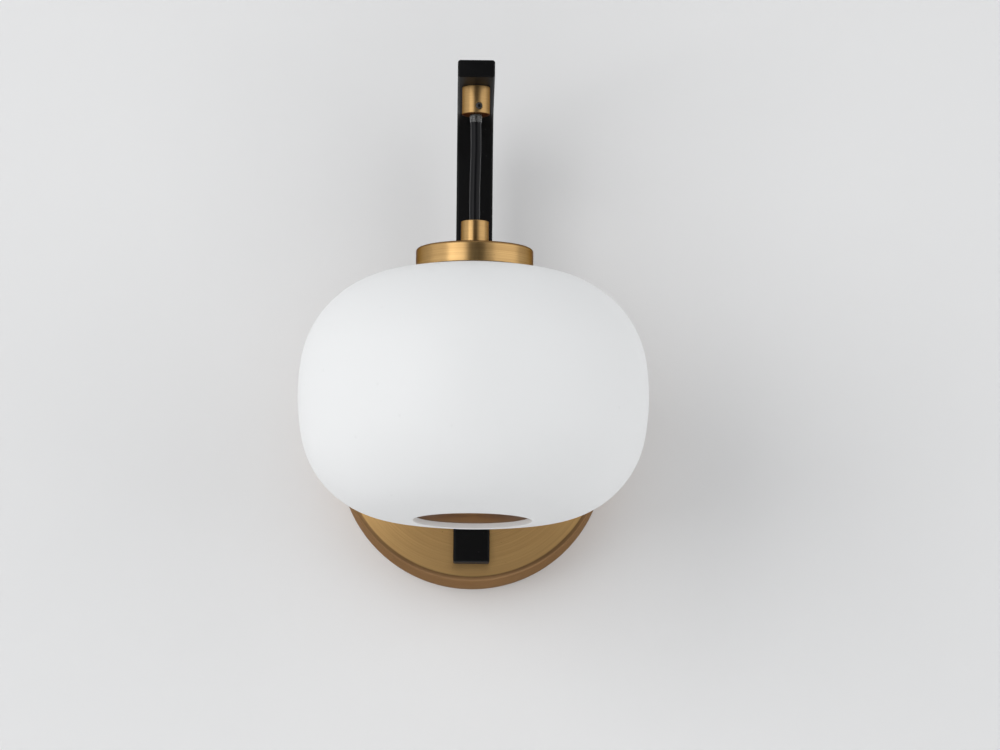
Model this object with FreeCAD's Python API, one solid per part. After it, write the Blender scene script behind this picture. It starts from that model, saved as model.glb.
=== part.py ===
import FreeCAD, Part
import math
import os

# A wall light: an opal glass globe hangs on a short cord from a black bar that hooks forward
# from a round brass canopy. All sizes are in millimetres. The origin is the centre of the
# canopy's back edge. The wall is the plane Y = 0, the room is towards -Y, and +Z is up.

# --- Clearances -------------------------------------------------------------------------------
thread_clearance = 0.05
slip_clearance = 0.3
hole_clearance = 0.25
cut_overrun = 1.0

# --- Canopy -----------------------------------------------------------------------------------
canopy_diameter = 158.5
canopy_depth = 39.5
canopy_wall = 1.2
canopy_edge_depth = 3.0

# --- Wall bracket -----------------------------------------------------------------------------
bracket_thickness = 2.0
bracket_width = 22.0
bracket_boss_diameter = 46.0
bracket_ear_depth = 19.0
box_slot_spacing = 79.5
box_slot_length = 24.0
box_slot_width = 4.8
centre_thread_diameter = 9.7
side_screw_diameter = 4.0
side_screw_setback = 12.0
side_screw_head_diameter = 8.5
side_screw_head_height = 4.0
side_screw_length = 7.0
ground_screw_diameter = 4.0
ground_screw_offset = 15.5

# --- Arm: a flat rectangular tube, closed at both ends ----------------------------------------
arm_width = 21.5
arm_thickness = 10.2
arm_wall = 1.5
arm_corner_bevel = 1.0
arm_end_bevel = 1.0
arm_bend_inside_radius = 28.0
arm_top_z = 205.6
arm_foot_drop = 69.1
arm_gap_to_glass = 7.5
arm_fixing_drop = 10.0
arm_screw_spacing = 80.0
arm_screw_diameter = 5.0
arm_screw_length = 11.0
weld_nut_side = 8.0
weld_nut_thickness = 4.0
weld_nut_corner = 0.6

# --- Backing plate and wire bushing inside the canopy -----------------------------------------
backing_plate_width = 40.0
backing_plate_thickness = 3.0
backing_plate_margin = 12.0
backing_plate_corner = 6.0
bushing_bore = 6.0
bushing_wall = 1.4
bushing_flange = 2.2
bushing_flange_thickness = 1.5
bushing_lip = 1.2

# --- LED driver -------------------------------------------------------------------------------
driver_width = 30.0
driver_height = 80.0
driver_thickness = 21.0
driver_corner_radius = 2.5
driver_gap_to_plate = 4.0
driver_groove_depth = 0.6
driver_tape_thickness = 1.0
driver_tape_margin = 3.0
terminal_width = 15.0
terminal_height = 9.0
terminal_thickness = 11.0
terminal_wire_hole = 2.6
terminal_hole_pitch = 6.0
terminal_hole_depth = 6.0

# --- Cord fittings: the upper one on the arm, the lower one on the cap ------------------------
fitting_diameter = 16.2
fitting_height = 16.4
fitting_chamfer = 0.4
fitting_setback = 32.0
nipple_diameter = 10.0
nipple_bore = 7.2
nipple_engagement = 7.5
nipple_end_above_nut = 1.5
locknut_across_flats = 14.0
locknut_thickness = 3.0
set_screw_diameter = 4.0
set_screw_length = 3.9
set_screw_recess = 0.5
set_screw_above_mouth = 4.3
set_screw_countersink = 0.5
set_screw_socket = 2.0
set_screw_socket_depth = 1.6
upper_screw_angle = 13.0
lower_screw_angle = 180.0
collet_diameter = 7.0
collet_protrusion = 4.5

# --- Cord -------------------------------------------------------------------------------------
cord_diameter = 6.0
cord_visible_length = 58.5
cord_bore_clearance = 0.05
cord_pivot_drop = 2.0
cord_tail_in_cap = 4.0

# --- Cap, heat sink and LED board -------------------------------------------------------------
cap_diameter = 68.1
cap_wall = 1.2
cap_edge_bevel = 1.0
cap_height = 12.2
heat_sink_groove_count = 2
heat_sink_groove_depth = 6.0
heat_sink_spigot_height = 8.0
led_board_thickness = 1.6
led_board_margin = 1.0
led_board_bore_margin = 1.0
led_count = 12
led_side = 3.0
led_height = 0.8
led_circle_diameter = 38.0
board_screw_count = 3
board_screw_diameter = 3.0
board_screw_circle_diameter = 22.0
board_screw_length = 6.0

# --- Glass globe ------------------------------------------------------------------------------
glass_diameter = 203.0
glass_wall = 3.0
glass_land_diameter = 66.0
glass_mouth_diameter = 54.6
glass_upper_side_radius = 131.0
glass_upper_side_angle = 8.7
glass_shoulder_radius = 61.1
glass_shoulder_angle = 68.8
glass_crown_radius = 253.0
glass_lower_side_radius = 133.6
glass_lower_side_angle = 10.6
glass_belly_radius = 57.2
glass_belly_angle = 70.6
glass_floor_radius = 355.0
glass_foot_diameter = 71.5
glass_foot_bevel = 0.6
glass_inside_runs = (1, 4, 1)
top_gasket_thickness = 1.2

# --- Bottom disc and the rod that draws it up against the glass -------------------------------
disc_diameter = 67.4
disc_thickness = 1.6
disc_edge_bevel = 0.4
disc_recess = 3.1
disc_gasket_thickness = 0.8
disc_gasket_width = 4.5
disc_boss_diameter = 15.0
disc_boss_height = 14.0
rod_bore = 7.0
rod_engagement = 6.0

# --- Places worked out from the sizes above ---------------------------------------------------
canopy_radius = canopy_diameter / 2
canopy_inner_radius = canopy_radius - canopy_wall
canopy_inner_face = canopy_depth - canopy_wall
glass_radius = glass_diameter / 2
arm_front = canopy_depth + arm_thickness
arm_foot_z = -arm_foot_drop
arm_fixing_z = -arm_fixing_drop
arm_underside_z = arm_top_z - arm_thickness
fitting_axis = arm_front + arm_gap_to_glass + glass_radius
arm_reach = fitting_axis + fitting_setback
fitting_radius = fitting_diameter / 2
grip_mouth_z = arm_underside_z - fitting_height
collet_mouth_z = grip_mouth_z - collet_protrusion
stem_mouth_z = collet_mouth_z - cord_visible_length
cap_top_z = stem_mouth_z - fitting_height
cap_ceiling_z = cap_top_z - cap_wall
glass_land_z = cap_top_z - cap_height
heat_sink_base_z = glass_land_z + top_gasket_thickness
spigot_end_z = heat_sink_base_z - heat_sink_spigot_height
glass_land_radius = glass_land_diameter / 2
glass_foot_radius = glass_foot_diameter / 2
cord_radius = cord_diameter / 2
cord_bore_radius = cord_radius + cord_bore_clearance
cord_top_z = collet_mouth_z - cord_pivot_drop
cord_foot_z = stem_mouth_z + cord_pivot_drop
nipple_hole_radius = nipple_diameter / 2 + thread_clearance


class GlassOutline:
    """Half of the globe's outline, from its widest line to where it meets its end: three arcs
    that run into each other, as (centre radius, centre height, radius, start, end angle)."""

    def __init__(self, side_radius, side_angle, bend_radius, bend_angle, end_radius, inset=0.0):
        first = math.radians(side_angle)
        second = first + math.radians(bend_angle)
        side_centre = (glass_radius - side_radius, 0.0)
        bend_centre = (
            side_centre[0] + (side_radius - bend_radius) * math.cos(first),
            side_centre[1] + (side_radius - bend_radius) * math.sin(first))
        end_centre = (
            bend_centre[0] - (end_radius - bend_radius) * math.cos(second),
            bend_centre[1] - (end_radius - bend_radius) * math.sin(second))
        self.side = (*side_centre, side_radius - inset, 0.0, first)
        self.bend = (*bend_centre, bend_radius - inset, first, second)
        self.end = (*end_centre, end_radius - inset, second)

    def angle_at(self, radius):
        """The angle on the last arc at a distance from the globe's axis."""
        centre_radius, _, arc_radius, _ = self.end
        return math.acos((radius - centre_radius) / arc_radius)

    def rise_at(self, radius):
        """How far the last arc stands from the widest line, at a distance from the axis."""
        _, centre_rise, arc_radius, _ = self.end
        return centre_rise + arc_radius * math.sin(self.angle_at(radius))

    def radius_at(self, rise):
        """Distance from the axis where the last arc reaches a rise."""
        centre_radius, centre_rise, arc_radius, _ = self.end
        return centre_radius + math.sqrt(arc_radius ** 2 - (rise - centre_rise) ** 2)

    def edges(self, last_radius, upward, chords=(0, 0, 0)):
        """The three arcs as edges, from the widest line to a distance from the axis. An arc
        that is given a number of chords is drawn as that many straight runs."""
        arcs = [self.side, self.bend, (*self.end, self.angle_at(last_radius))]
        made = []
        for (centre_radius, centre_rise, arc_radius, start, end), runs in zip(arcs, chords):
            points = []
            steps = runs or 2
            for step in range(steps + 1):
                angle = start + (end - start) * step / steps
                radius = centre_radius + arc_radius * math.cos(angle)
                rise = centre_rise + arc_radius * math.sin(angle)
                points.append(place(radius, fitting_axis, glass_equator_z + upward * rise))
            if runs:
                made += [Part.makeLine(a, b) for a, b in zip(points, points[1:])]
            else:
                made.append(Part.Arc(*points).toShape())
        return made


def glass_upper(inset=0.0):
    """The globe's outline above its widest line, drawn in by the wall for the inside."""
    return GlassOutline(
        glass_upper_side_radius, glass_upper_side_angle,
        glass_shoulder_radius, glass_shoulder_angle, glass_crown_radius, inset)


def glass_lower(inset=0.0):
    """The globe's outline below its widest line, drawn in by the wall for the inside."""
    return GlassOutline(
        glass_lower_side_radius, glass_lower_side_angle,
        glass_belly_radius, glass_belly_angle, glass_floor_radius, inset)


glass_equator_z = glass_land_z - glass_upper().rise_at(glass_land_radius)
glass_foot_z = glass_equator_z - glass_lower().rise_at(glass_foot_radius)
disc_face_z = glass_foot_z + disc_recess
disc_back_z = disc_face_z + disc_thickness
glass_seat_z = disc_back_z + disc_gasket_thickness


# --- Building helpers -------------------------------------------------------------------------
def place(x, off_wall, z):
    """A point given by its distance off the wall."""
    return FreeCAD.Vector(x, -off_wall, z)


def rounded_wire(corners, to_space):
    """A closed wire of straight runs, each corner (u, v, radius) rounded by a tangent arc."""
    starts, ends, arcs = [], [], []
    total = len(corners)
    for index, (u, v, radius) in enumerate(corners):
        here = FreeCAD.Vector(u, v, 0)
        before = FreeCAD.Vector(*corners[index - 1][:2], 0) - here
        after = FreeCAD.Vector(*corners[(index + 1) % total][:2], 0) - here
        before.normalize()
        after.normalize()
        if radius <= 0:
            starts.append(here)
            ends.append(here)
            arcs.append(None)
            continue
        half_angle = before.getAngle(after) / 2
        reach = radius / math.tan(half_angle)
        middle = before + after
        middle.normalize()
        arc_middle = here + middle * (radius / math.sin(half_angle) - radius)
        starts.append(here + before * reach)
        ends.append(here + after * reach)
        arcs.append(arc_middle)
    edges = []
    for index in range(total):
        start, end = starts[index], ends[index]
        if arcs[index] is not None:
            edges.append(Part.Arc(to_space(start), to_space(arcs[index]), to_space(end)).toShape())
        following = starts[(index + 1) % total]
        if (following - end).Length > 1e-6:
            edges.append(Part.makeLine(to_space(end), to_space(following)))
    return Part.Wire(edges)


def turned(corners, axis_off_wall=fitting_axis):
    """A piece turned about a vertical axis, from (radius, height, corner radius) corners."""
    wire = rounded_wire(corners, lambda p: place(p.x, axis_off_wall, p.y))
    return Part.Face(wire).revolve(place(0, axis_off_wall, 0), FreeCAD.Vector(0, 0, 1), 360)


def spun_on_wall(corners):
    """A piece spun about the line out of the wall, from (radius, off-wall, corner radius)."""
    wire = rounded_wire(corners, lambda p: place(p.x, p.y, 0))
    return Part.Face(wire).revolve(FreeCAD.Vector(0, 0, 0), FreeCAD.Vector(0, 1, 0), 360)


def plate(corners, near, far):
    """A flat plate parallel to the wall, from (x, z, corner radius), between two distances."""
    wire = rounded_wire(corners, lambda p: place(p.x, near, p.y))
    return Part.Face(wire).extrude(place(0, far - near, 0))


def rectangle(width, height, radius, x=0.0, z=0.0):
    """Corners of a rounded rectangle about a centre."""
    left, right = x - width / 2, x + width / 2
    low, high = z - height / 2, z + height / 2
    return [(left, low, radius), (right, low, radius), (right, high, radius), (left, high, radius)]


def cut_rectangle(width, height, cut):
    """Corners of a rectangle about the origin, each corner cut off by a small bevel."""
    if cut <= 0:
        return rectangle(width, height, 0)
    corners = []
    for side_u, side_v in ((-1, -1), (1, -1), (1, 1), (-1, 1)):
        along_u = (side_u * (width / 2 - cut), side_v * height / 2, 0)
        along_v = (side_u * width / 2, side_v * (height / 2 - cut), 0)
        corners += [along_v, along_u] if side_u == side_v else [along_u, along_v]
    return corners


def rod_between(start, end, radius):
    """A round bar from one point to another."""
    run = end - start
    return Part.makeCylinder(radius, run.Length, start, run)


def upright(radius, low, high, axis_off_wall=fitting_axis):
    """A round vertical bar on the fittings' axis."""
    return Part.makeCylinder(radius, high - low, place(0, axis_off_wall, low))


def facing(shape, base, direction):
    """Turns a shape built along +Z to a direction and moves its foot to a point."""
    turn = FreeCAD.Rotation(FreeCAD.Vector(0, 0, 1), direction)
    moved = shape.copy()
    moved.Placement = FreeCAD.Placement(base, turn)
    return moved


def hexagon_prism(across_flats, low, high, centre):
    """A six-sided prism on +Z."""
    corner_radius = across_flats / 2 / math.cos(math.pi / 6)
    points = []
    for step in range(7):
        angle = step * math.pi / 3
        points.append(centre + FreeCAD.Vector(
            corner_radius * math.cos(angle), corner_radius * math.sin(angle), low))
    return Part.Face(Part.makePolygon(points)).extrude(FreeCAD.Vector(0, 0, high - low))


def pan_screw(diameter, length, head_diameter, head_height, slot_width):
    """A slotted screw on +Z, its bevelled head's seat at zero and its shank above it."""
    head_radius = head_diameter / 2
    corners = [
        (0, length, 0),
        (0, -head_height, 0),
        (head_radius * 0.65, -head_height, 0),
        (head_radius, -head_height * 0.45, 0),
        (head_radius, 0, 0),
        (diameter / 2, 0, 0),
        (diameter / 2, length, 0),
    ]
    wire = rounded_wire(corners, lambda p: FreeCAD.Vector(p.x, 0, p.y))
    screw = Part.Face(wire).revolve(FreeCAD.Vector(0, 0, 0), FreeCAD.Vector(0, 0, 1), 360)
    slot_depth = head_height * 0.4
    slot = Part.makeBox(
        head_diameter * 1.2, slot_width, slot_depth,
        FreeCAD.Vector(-head_diameter * 0.6, -slot_width / 2, -head_height))
    return screw.cut(slot)


def ring_places(count, circle_diameter, z, start_angle=0.0):
    """Points spaced evenly on a circle about the fittings' axis."""
    radius = circle_diameter / 2
    for step in range(count):
        angle = math.radians(start_angle) + step * 2 * math.pi / count
        yield place(radius * math.cos(angle), fitting_axis + radius * math.sin(angle), z), angle


# --- Wall side --------------------------------------------------------------------------------
def side_screw_ends():
    """The two horizontal sides where the canopy is screwed to the bracket's ears."""
    return [-1, 1]


ear_half_width = bracket_width / 2
ear_outer_x = math.sqrt((canopy_inner_radius - slip_clearance) ** 2 - ear_half_width ** 2)
arm_screw_heights = [arm_fixing_z + side * arm_screw_spacing / 2 for side in (-1, 1)]
arm_screw_head_diameter = arm_screw_diameter * 1.9
arm_screw_head_height = arm_screw_diameter * 0.6
bushing_radius = bushing_bore / 2 + bushing_wall
bushing_hole_radius = bushing_radius + hole_clearance
backing_face = canopy_inner_face - backing_plate_thickness


def wall_bracket():
    """A stamped strap with a round boss and two ears folded forward against the canopy."""
    strap = plate(rectangle(2 * ear_outer_x, bracket_width, 0), 0, bracket_thickness)
    boss = Part.makeCylinder(
        bracket_boss_diameter / 2, bracket_thickness, FreeCAD.Vector(0, 0, 0),
        FreeCAD.Vector(0, -1, 0))
    bracket = strap.fuse(boss)
    for side in side_screw_ends():
        outer = side * ear_outer_x
        inner = side * (ear_outer_x - bracket_thickness)
        corners = rectangle(bracket_width, bracket_ear_depth, 0, 0, bracket_ear_depth / 2)
        wire = rounded_wire(corners, lambda p: place(inner, p.y, p.x))
        ear = Part.Face(wire).extrude(FreeCAD.Vector(outer - inner, 0, 0))
        bracket = bracket.fuse(ear)
    bracket = bracket.removeSplitter()
    for side in side_screw_ends():
        centre_x = side * box_slot_spacing / 2
        slot = plate(
            rectangle(box_slot_length, box_slot_width, box_slot_width / 2 * 0.999, centre_x),
            -cut_overrun, bracket_thickness + cut_overrun)
        hole = rod_between(
            place(side * (ear_outer_x - 2 * bracket_thickness), side_screw_setback, 0),
            place(side * canopy_radius, side_screw_setback, 0),
            side_screw_diameter / 2 + thread_clearance)
        bracket = bracket.cut(slot).cut(hole)
    centre = rod_between(
        place(0, -cut_overrun, 0), place(0, bracket_thickness + cut_overrun, 0),
        centre_thread_diameter / 2)
    ground = rod_between(
        place(0, -cut_overrun, ground_screw_offset),
        place(0, bracket_thickness + cut_overrun, ground_screw_offset),
        ground_screw_diameter / 2 + thread_clearance)
    return bracket.cut(centre).cut(ground)


def ground_screw():
    """A screw for the earth wire, its head on the bracket's room side and its end flush."""
    screw = pan_screw(
        ground_screw_diameter, bracket_thickness, ground_screw_diameter * 1.9,
        ground_screw_diameter * 0.6, ground_screw_diameter * 0.25)
    return facing(screw, place(0, bracket_thickness, ground_screw_offset), FreeCAD.Vector(0, 1, 0))


def canopy():
    """A drawn cup with its open side on the wall and a rounded front edge."""
    soft = canopy_edge_depth
    shoulder = soft * (1 - math.sqrt(0.5))
    inner_bevel = soft - canopy_wall
    cup = spun_on_wall([
        (0, canopy_depth, 0),
        (canopy_radius - soft, canopy_depth, 0),
        (canopy_radius - shoulder, canopy_depth - shoulder, 0),
        (canopy_radius, canopy_depth - soft, 0),
        (canopy_radius, 0, 0),
        (canopy_inner_radius, 0, 0),
        (canopy_inner_radius, canopy_inner_face - inner_bevel, 0),
        (canopy_inner_radius - inner_bevel, canopy_inner_face, 0),
        (0, canopy_inner_face, 0),
    ])
    holes = [
        rod_between(
            place(0, canopy_inner_face - cut_overrun, z), place(0, canopy_depth + cut_overrun, z),
            arm_screw_diameter / 2 + hole_clearance)
        for z in arm_screw_heights
    ]
    holes.append(rod_between(
        place(0, canopy_inner_face - cut_overrun, arm_fixing_z),
        place(0, canopy_depth + cut_overrun, arm_fixing_z),
        bushing_hole_radius))
    for side in side_screw_ends():
        holes.append(rod_between(
            place(side * canopy_inner_radius * 0.9, side_screw_setback, 0),
            place(side * canopy_radius * 1.1, side_screw_setback, 0),
            side_screw_diameter / 2 + hole_clearance))
    return cup.cut(Part.makeCompound(holes))


def canopy_side_screws():
    """Two domed screws that hold the canopy over the bracket's ears."""
    screw = pan_screw(
        side_screw_diameter, side_screw_length, side_screw_head_diameter,
        side_screw_head_height, side_screw_diameter * 0.25)
    return [
        facing(screw, place(side * (canopy_radius + 0.05), side_screw_setback, 0),
               FreeCAD.Vector(-side, 0, 0))
        for side in side_screw_ends()
    ]


def arm_backing_plate():
    """A stiff plate that spreads the arm's load over the canopy's thin front."""
    height = arm_screw_spacing + 2 * backing_plate_margin
    blank = plate(
        rectangle(backing_plate_width, height, backing_plate_corner, 0, arm_fixing_z),
        backing_face, canopy_inner_face)
    for z in arm_screw_heights:
        blank = blank.cut(rod_between(
            place(0, backing_face - cut_overrun, z), place(0, canopy_inner_face + cut_overrun, z),
            arm_screw_diameter / 2 + hole_clearance))
    return blank.cut(rod_between(
        place(0, backing_face - cut_overrun, arm_fixing_z),
        place(0, canopy_inner_face + cut_overrun, arm_fixing_z),
        bushing_hole_radius))


def wire_bushing():
    """A flanged sleeve that keeps the wires off the edges of the hole into the arm."""
    inner = bushing_bore / 2
    flange_radius = bushing_radius + bushing_flange
    sleeve_end = canopy_depth + arm_wall + bushing_lip
    return spun_on_wall([
        (inner, backing_face - bushing_flange_thickness, 0),
        (flange_radius, backing_face - bushing_flange_thickness, 0),
        (flange_radius, backing_face, 0),
        (bushing_radius, backing_face, 0),
        (bushing_radius, sleeve_end, 0),
        (inner, sleeve_end, 0),
    ]).translated(FreeCAD.Vector(0, 0, arm_fixing_z))


def arm_screws():
    """Two screws from inside the canopy into the nuts in the arm."""
    screw = pan_screw(
        arm_screw_diameter, arm_screw_length, arm_screw_head_diameter,
        arm_screw_head_height, arm_screw_diameter * 0.25)
    return [facing(screw, place(0, backing_face, z), FreeCAD.Vector(0, -1, 0))
            for z in arm_screw_heights]


def arm_weld_nuts():
    """Two square nuts welded inside the arm's back wall."""
    near = canopy_depth + arm_wall
    nuts = []
    for z in arm_screw_heights:
        blank = rectangle(weld_nut_side, weld_nut_side, weld_nut_corner, 0, z)
        nut = plate(blank, near, near + weld_nut_thickness)
        nuts.append(nut.cut(rod_between(
            place(0, near - cut_overrun, z), place(0, near + weld_nut_thickness + cut_overrun, z),
            arm_screw_diameter / 2 + thread_clearance)))
    return nuts


def driver_centre_x():
    """The driver lies beside the backing plate, on the canopy's front."""
    return backing_plate_width / 2 + driver_gap_to_plate + driver_width / 2


driver_far = canopy_inner_face - driver_tape_thickness
driver_near = driver_far - driver_thickness


def led_driver():
    """The driver's closed case, with a stepped lid line round it."""
    case = plate(
        rectangle(driver_width, driver_height, driver_corner_radius, driver_centre_x()),
        driver_near, driver_far)
    lid_line = driver_near + driver_thickness * 0.3
    groove_depth = driver_groove_depth
    groove_width = 2 * driver_groove_depth
    outer = plate(
        rectangle(
            driver_width + 2 * cut_overrun, driver_height + 2 * cut_overrun, 0, driver_centre_x()),
        lid_line, lid_line + groove_width)
    core = plate(
        rectangle(driver_width - 2 * groove_depth, driver_height - 2 * groove_depth,
                  driver_corner_radius, driver_centre_x()),
        lid_line - cut_overrun, lid_line + groove_width + cut_overrun)
    return case.cut(outer.cut(core))


def driver_tape():
    """The adhesive pad under the driver."""
    return plate(
        rectangle(driver_width - 2 * driver_tape_margin, driver_height - 2 * driver_tape_margin,
                  1.5, driver_centre_x()),
        driver_far, canopy_inner_face)


def driver_terminals():
    """Push-in terminals for mains at the top and for the LED leads at the foot."""
    middle = (driver_near + driver_far) / 2
    blocks = []
    for side in (-1, 1):
        centre_z = side * (driver_height + terminal_height) / 2
        block = plate(
            rectangle(terminal_width, terminal_height, 0.8, driver_centre_x(), centre_z),
            middle - terminal_thickness / 2, middle + terminal_thickness / 2)
        mouth_z = side * (driver_height / 2 + terminal_height)
        for column in (-1, 1):
            x = driver_centre_x() + column * terminal_hole_pitch / 2
            block = block.cut(rod_between(
                place(x, middle, mouth_z + side),
                place(x, middle, mouth_z - side * terminal_hole_depth),
                terminal_wire_hole / 2))
        blocks.append(block)
    return blocks


# --- Arm --------------------------------------------------------------------------------------
def arm_bar(inset, end_inset):
    """The bent bar, or the space inside it, by how far its faces are drawn in."""
    width = arm_width - 2 * inset
    thickness = arm_thickness - 2 * inset
    cut = arm_corner_bevel if inset == 0 else 0
    bend = arm_bend_inside_radius + arm_thickness / 2
    middle_off_wall = canopy_depth + arm_thickness / 2
    middle_z = arm_top_z - arm_thickness / 2
    foot = place(0, middle_off_wall, arm_foot_z + end_inset)
    bend_start = place(0, middle_off_wall, middle_z - bend)
    slack = bend * (1 - math.sqrt(0.5))
    bend_middle = place(0, middle_off_wall + slack, middle_z - slack)
    bend_end = place(0, middle_off_wall + bend, middle_z)
    tip = place(0, arm_reach - end_inset, middle_z)
    path = Part.Wire([
        Part.makeLine(foot, bend_start),
        Part.Arc(bend_start, bend_middle, bend_end).toShape(),
        Part.makeLine(bend_end, tip),
    ])
    section = rounded_wire(
        cut_rectangle(width, thickness, cut),
        lambda p: place(p.x, middle_off_wall + p.y, arm_foot_z + end_inset))
    return path.makePipeShell([section], True, True)


def arm():
    """The bar: a tube bent once, its ends closed and softened, drilled for what it carries."""
    outside = arm_bar(0, 0)
    ends = [edge for edge in outside.Edges if at_an_end(edge)]
    outside = outside.makeChamfer(arm_end_bevel, ends)
    bar = outside.cut(arm_bar(arm_wall, arm_wall))
    back_of_wall = canopy_depth - cut_overrun
    front_of_wall = canopy_depth + arm_wall + cut_overrun
    for z in arm_screw_heights:
        bar = bar.cut(rod_between(
            place(0, back_of_wall, z), place(0, front_of_wall, z),
            arm_screw_diameter / 2 + hole_clearance))
    bar = bar.cut(rod_between(
        place(0, back_of_wall, arm_fixing_z), place(0, front_of_wall, arm_fixing_z),
        bushing_hole_radius))
    hole_top_z = arm_underside_z + arm_wall + cut_overrun
    return bar.cut(upright(nipple_hole_radius, arm_underside_z - cut_overrun, hole_top_z))


def at_an_end(edge):
    """True for an edge that lies wholly in the foot's or the tip's end face."""
    box = edge.BoundBox
    in_foot = box.ZMax < arm_foot_z + 0.01
    in_tip = box.YMax < -arm_reach + 0.01
    return in_foot or in_tip


# --- Cord fittings and cord -------------------------------------------------------------------
nut_floor_z = arm_underside_z + arm_wall


def hollow_nipple(low, high):
    """A threaded tube on the fittings' axis."""
    chamfer = 0.5
    outer = nipple_diameter / 2
    return turned([
        (nipple_bore / 2, low, 0),
        (outer - chamfer, low, 0),
        (outer, low + chamfer, 0),
        (outer, high - chamfer, 0),
        (outer - chamfer, high, 0),
        (nipple_bore / 2, high, 0),
    ])


def arm_nipple():
    """Joins the upper fitting to the arm's underside."""
    return hollow_nipple(
        arm_underside_z - nipple_engagement,
        nut_floor_z + locknut_thickness + nipple_end_above_nut)


def arm_locknut():
    """The nut on the nipple, inside the arm."""
    centre = place(0, fitting_axis, 0)
    nut = hexagon_prism(locknut_across_flats, nut_floor_z, nut_floor_z + locknut_thickness, centre)
    nut_top_z = nut_floor_z + locknut_thickness
    return nut.cut(upright(nipple_hole_radius, nut_floor_z - cut_overrun, nut_top_z + cut_overrun))


def screw_direction(turn_angle):
    """The way a set screw's mouth looks, turned from straight out of the wall."""
    angle = math.radians(turn_angle)
    return FreeCAD.Vector(math.sin(angle), -math.cos(angle), 0)


def fitting_body(mouth_z, seat_z, cord_side_radius, screw_z, turn_angle):
    """A turned brass fitting: nipple thread at its seat, cord or collet at its mouth."""
    low, high = min(mouth_z, seat_z), max(mouth_z, seat_z)
    toward_mouth = 1 if mouth_z > seat_z else -1
    body = turned([
        (0, low, 0),
        (fitting_radius - fitting_chamfer, low, 0),
        (fitting_radius, low + fitting_chamfer, 0),
        (fitting_radius, high - fitting_chamfer, 0),
        (fitting_radius - fitting_chamfer, high, 0),
        (0, high, 0),
    ])
    thread_end = seat_z + toward_mouth * (nipple_engagement + slip_clearance)
    thread = sorted((seat_z - toward_mouth, thread_end))
    bore = sorted((seat_z, mouth_z + toward_mouth))
    body = body.cut(upright(nipple_hole_radius, *thread))
    body = body.cut(upright(cord_side_radius, *bore))
    direction = screw_direction(turn_angle)
    axis_point = place(0, fitting_axis, screw_z)
    body = body.cut(rod_between(
        axis_point, axis_point + direction * (fitting_radius + cut_overrun),
        set_screw_diameter / 2 + thread_clearance))
    cone_depth = set_screw_countersink * 2
    cone = Part.makeCone(
        set_screw_diameter / 2, set_screw_diameter / 2 + cone_depth, cone_depth,
        axis_point + direction * (fitting_radius - set_screw_countersink), direction)
    return body.cut(cone)


def set_screw(screw_z, turn_angle):
    """A socket set screw, just below the fitting's surface."""
    direction = screw_direction(turn_angle)
    blank = Part.makeCylinder(set_screw_diameter / 2, set_screw_length)
    socket = hexagon_prism(
        set_screw_socket, set_screw_length - set_screw_socket_depth, set_screw_length + cut_overrun,
        FreeCAD.Vector(0, 0, 0))
    start = fitting_radius - set_screw_recess - set_screw_length
    return facing(blank.cut(socket), place(0, fitting_axis, screw_z) + direction * start, direction)


upper_screw_z = grip_mouth_z + set_screw_above_mouth
lower_screw_z = stem_mouth_z - set_screw_above_mouth
collet_hole_radius = collet_diameter / 2 + thread_clearance


def cord_grip():
    """The upper fitting, screwed up against the arm."""
    return fitting_body(
        grip_mouth_z, arm_underside_z, collet_hole_radius, upper_screw_z, upper_screw_angle)


def cord_collet():
    """A clear sleeve between the upper fitting and the cord, which shows below the fitting."""
    top = arm_underside_z - nipple_engagement - slip_clearance
    return turned([
        (cord_bore_radius, collet_mouth_z, 0),
        (collet_diameter / 2, collet_mouth_z, 0),
        (collet_diameter / 2, top, 0),
        (cord_bore_radius, top, 0),
    ])


def cord_stem():
    """The lower fitting, screwed down on the cap."""
    return fitting_body(
        stem_mouth_z, cap_top_z, cord_bore_radius, lower_screw_z, lower_screw_angle)


def cord():
    """The free cord between the fittings. Its ends are domed where it bends in their mouths."""
    dome = [(math.sin(step * math.pi / 6), math.cos(step * math.pi / 6)) for step in range(4)]
    foot = [(cord_radius * side, cord_foot_z - cord_radius * rise, 0) for side, rise in dome]
    top = [(cord_radius * side, cord_top_z + cord_radius * rise, 0) for side, rise in dome]
    return turned(foot + top[::-1])


def cord_upper_end():
    """The cord's end held in the collet, with its tail in the arm."""
    low = cord_top_z + cord_radius + slip_clearance
    return upright(cord_radius, low, nut_floor_z + locknut_thickness + nipple_end_above_nut)


def cord_lower_end():
    """The cord's end held in the stem, with its tail in the cap."""
    high = cord_foot_z - cord_radius - slip_clearance
    return upright(cord_radius, cap_ceiling_z - cord_tail_in_cap, high)


# --- Cap, heat sink and light source ----------------------------------------------------------
cap_radius = cap_diameter / 2
cap_inner_radius = cap_radius - cap_wall
cap_rim_z = glass_land_z + slip_clearance
spigot_radius = glass_mouth_diameter / 2 - slip_clearance
sink_radius = cap_inner_radius - slip_clearance
cap_nipple_low_z = cap_ceiling_z - nipple_engagement
spigot_board_radius = spigot_radius - led_board_margin


def cap():
    """A turned brass cup over the globe's mouth."""
    return turned([
        (nipple_hole_radius, cap_top_z, 0),
        (cap_radius - cap_edge_bevel, cap_top_z, 0),
        (cap_radius, cap_top_z - cap_edge_bevel, 0),
        (cap_radius, cap_rim_z, 0),
        (cap_inner_radius, cap_rim_z, 0),
        (cap_inner_radius, cap_ceiling_z, 0),
        (nipple_hole_radius, cap_ceiling_z, 0),
    ])


def cap_nipple():
    """Joins the stem, the cap and the heat sink."""
    return hollow_nipple(cap_nipple_low_z, cap_top_z + nipple_engagement)


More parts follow.
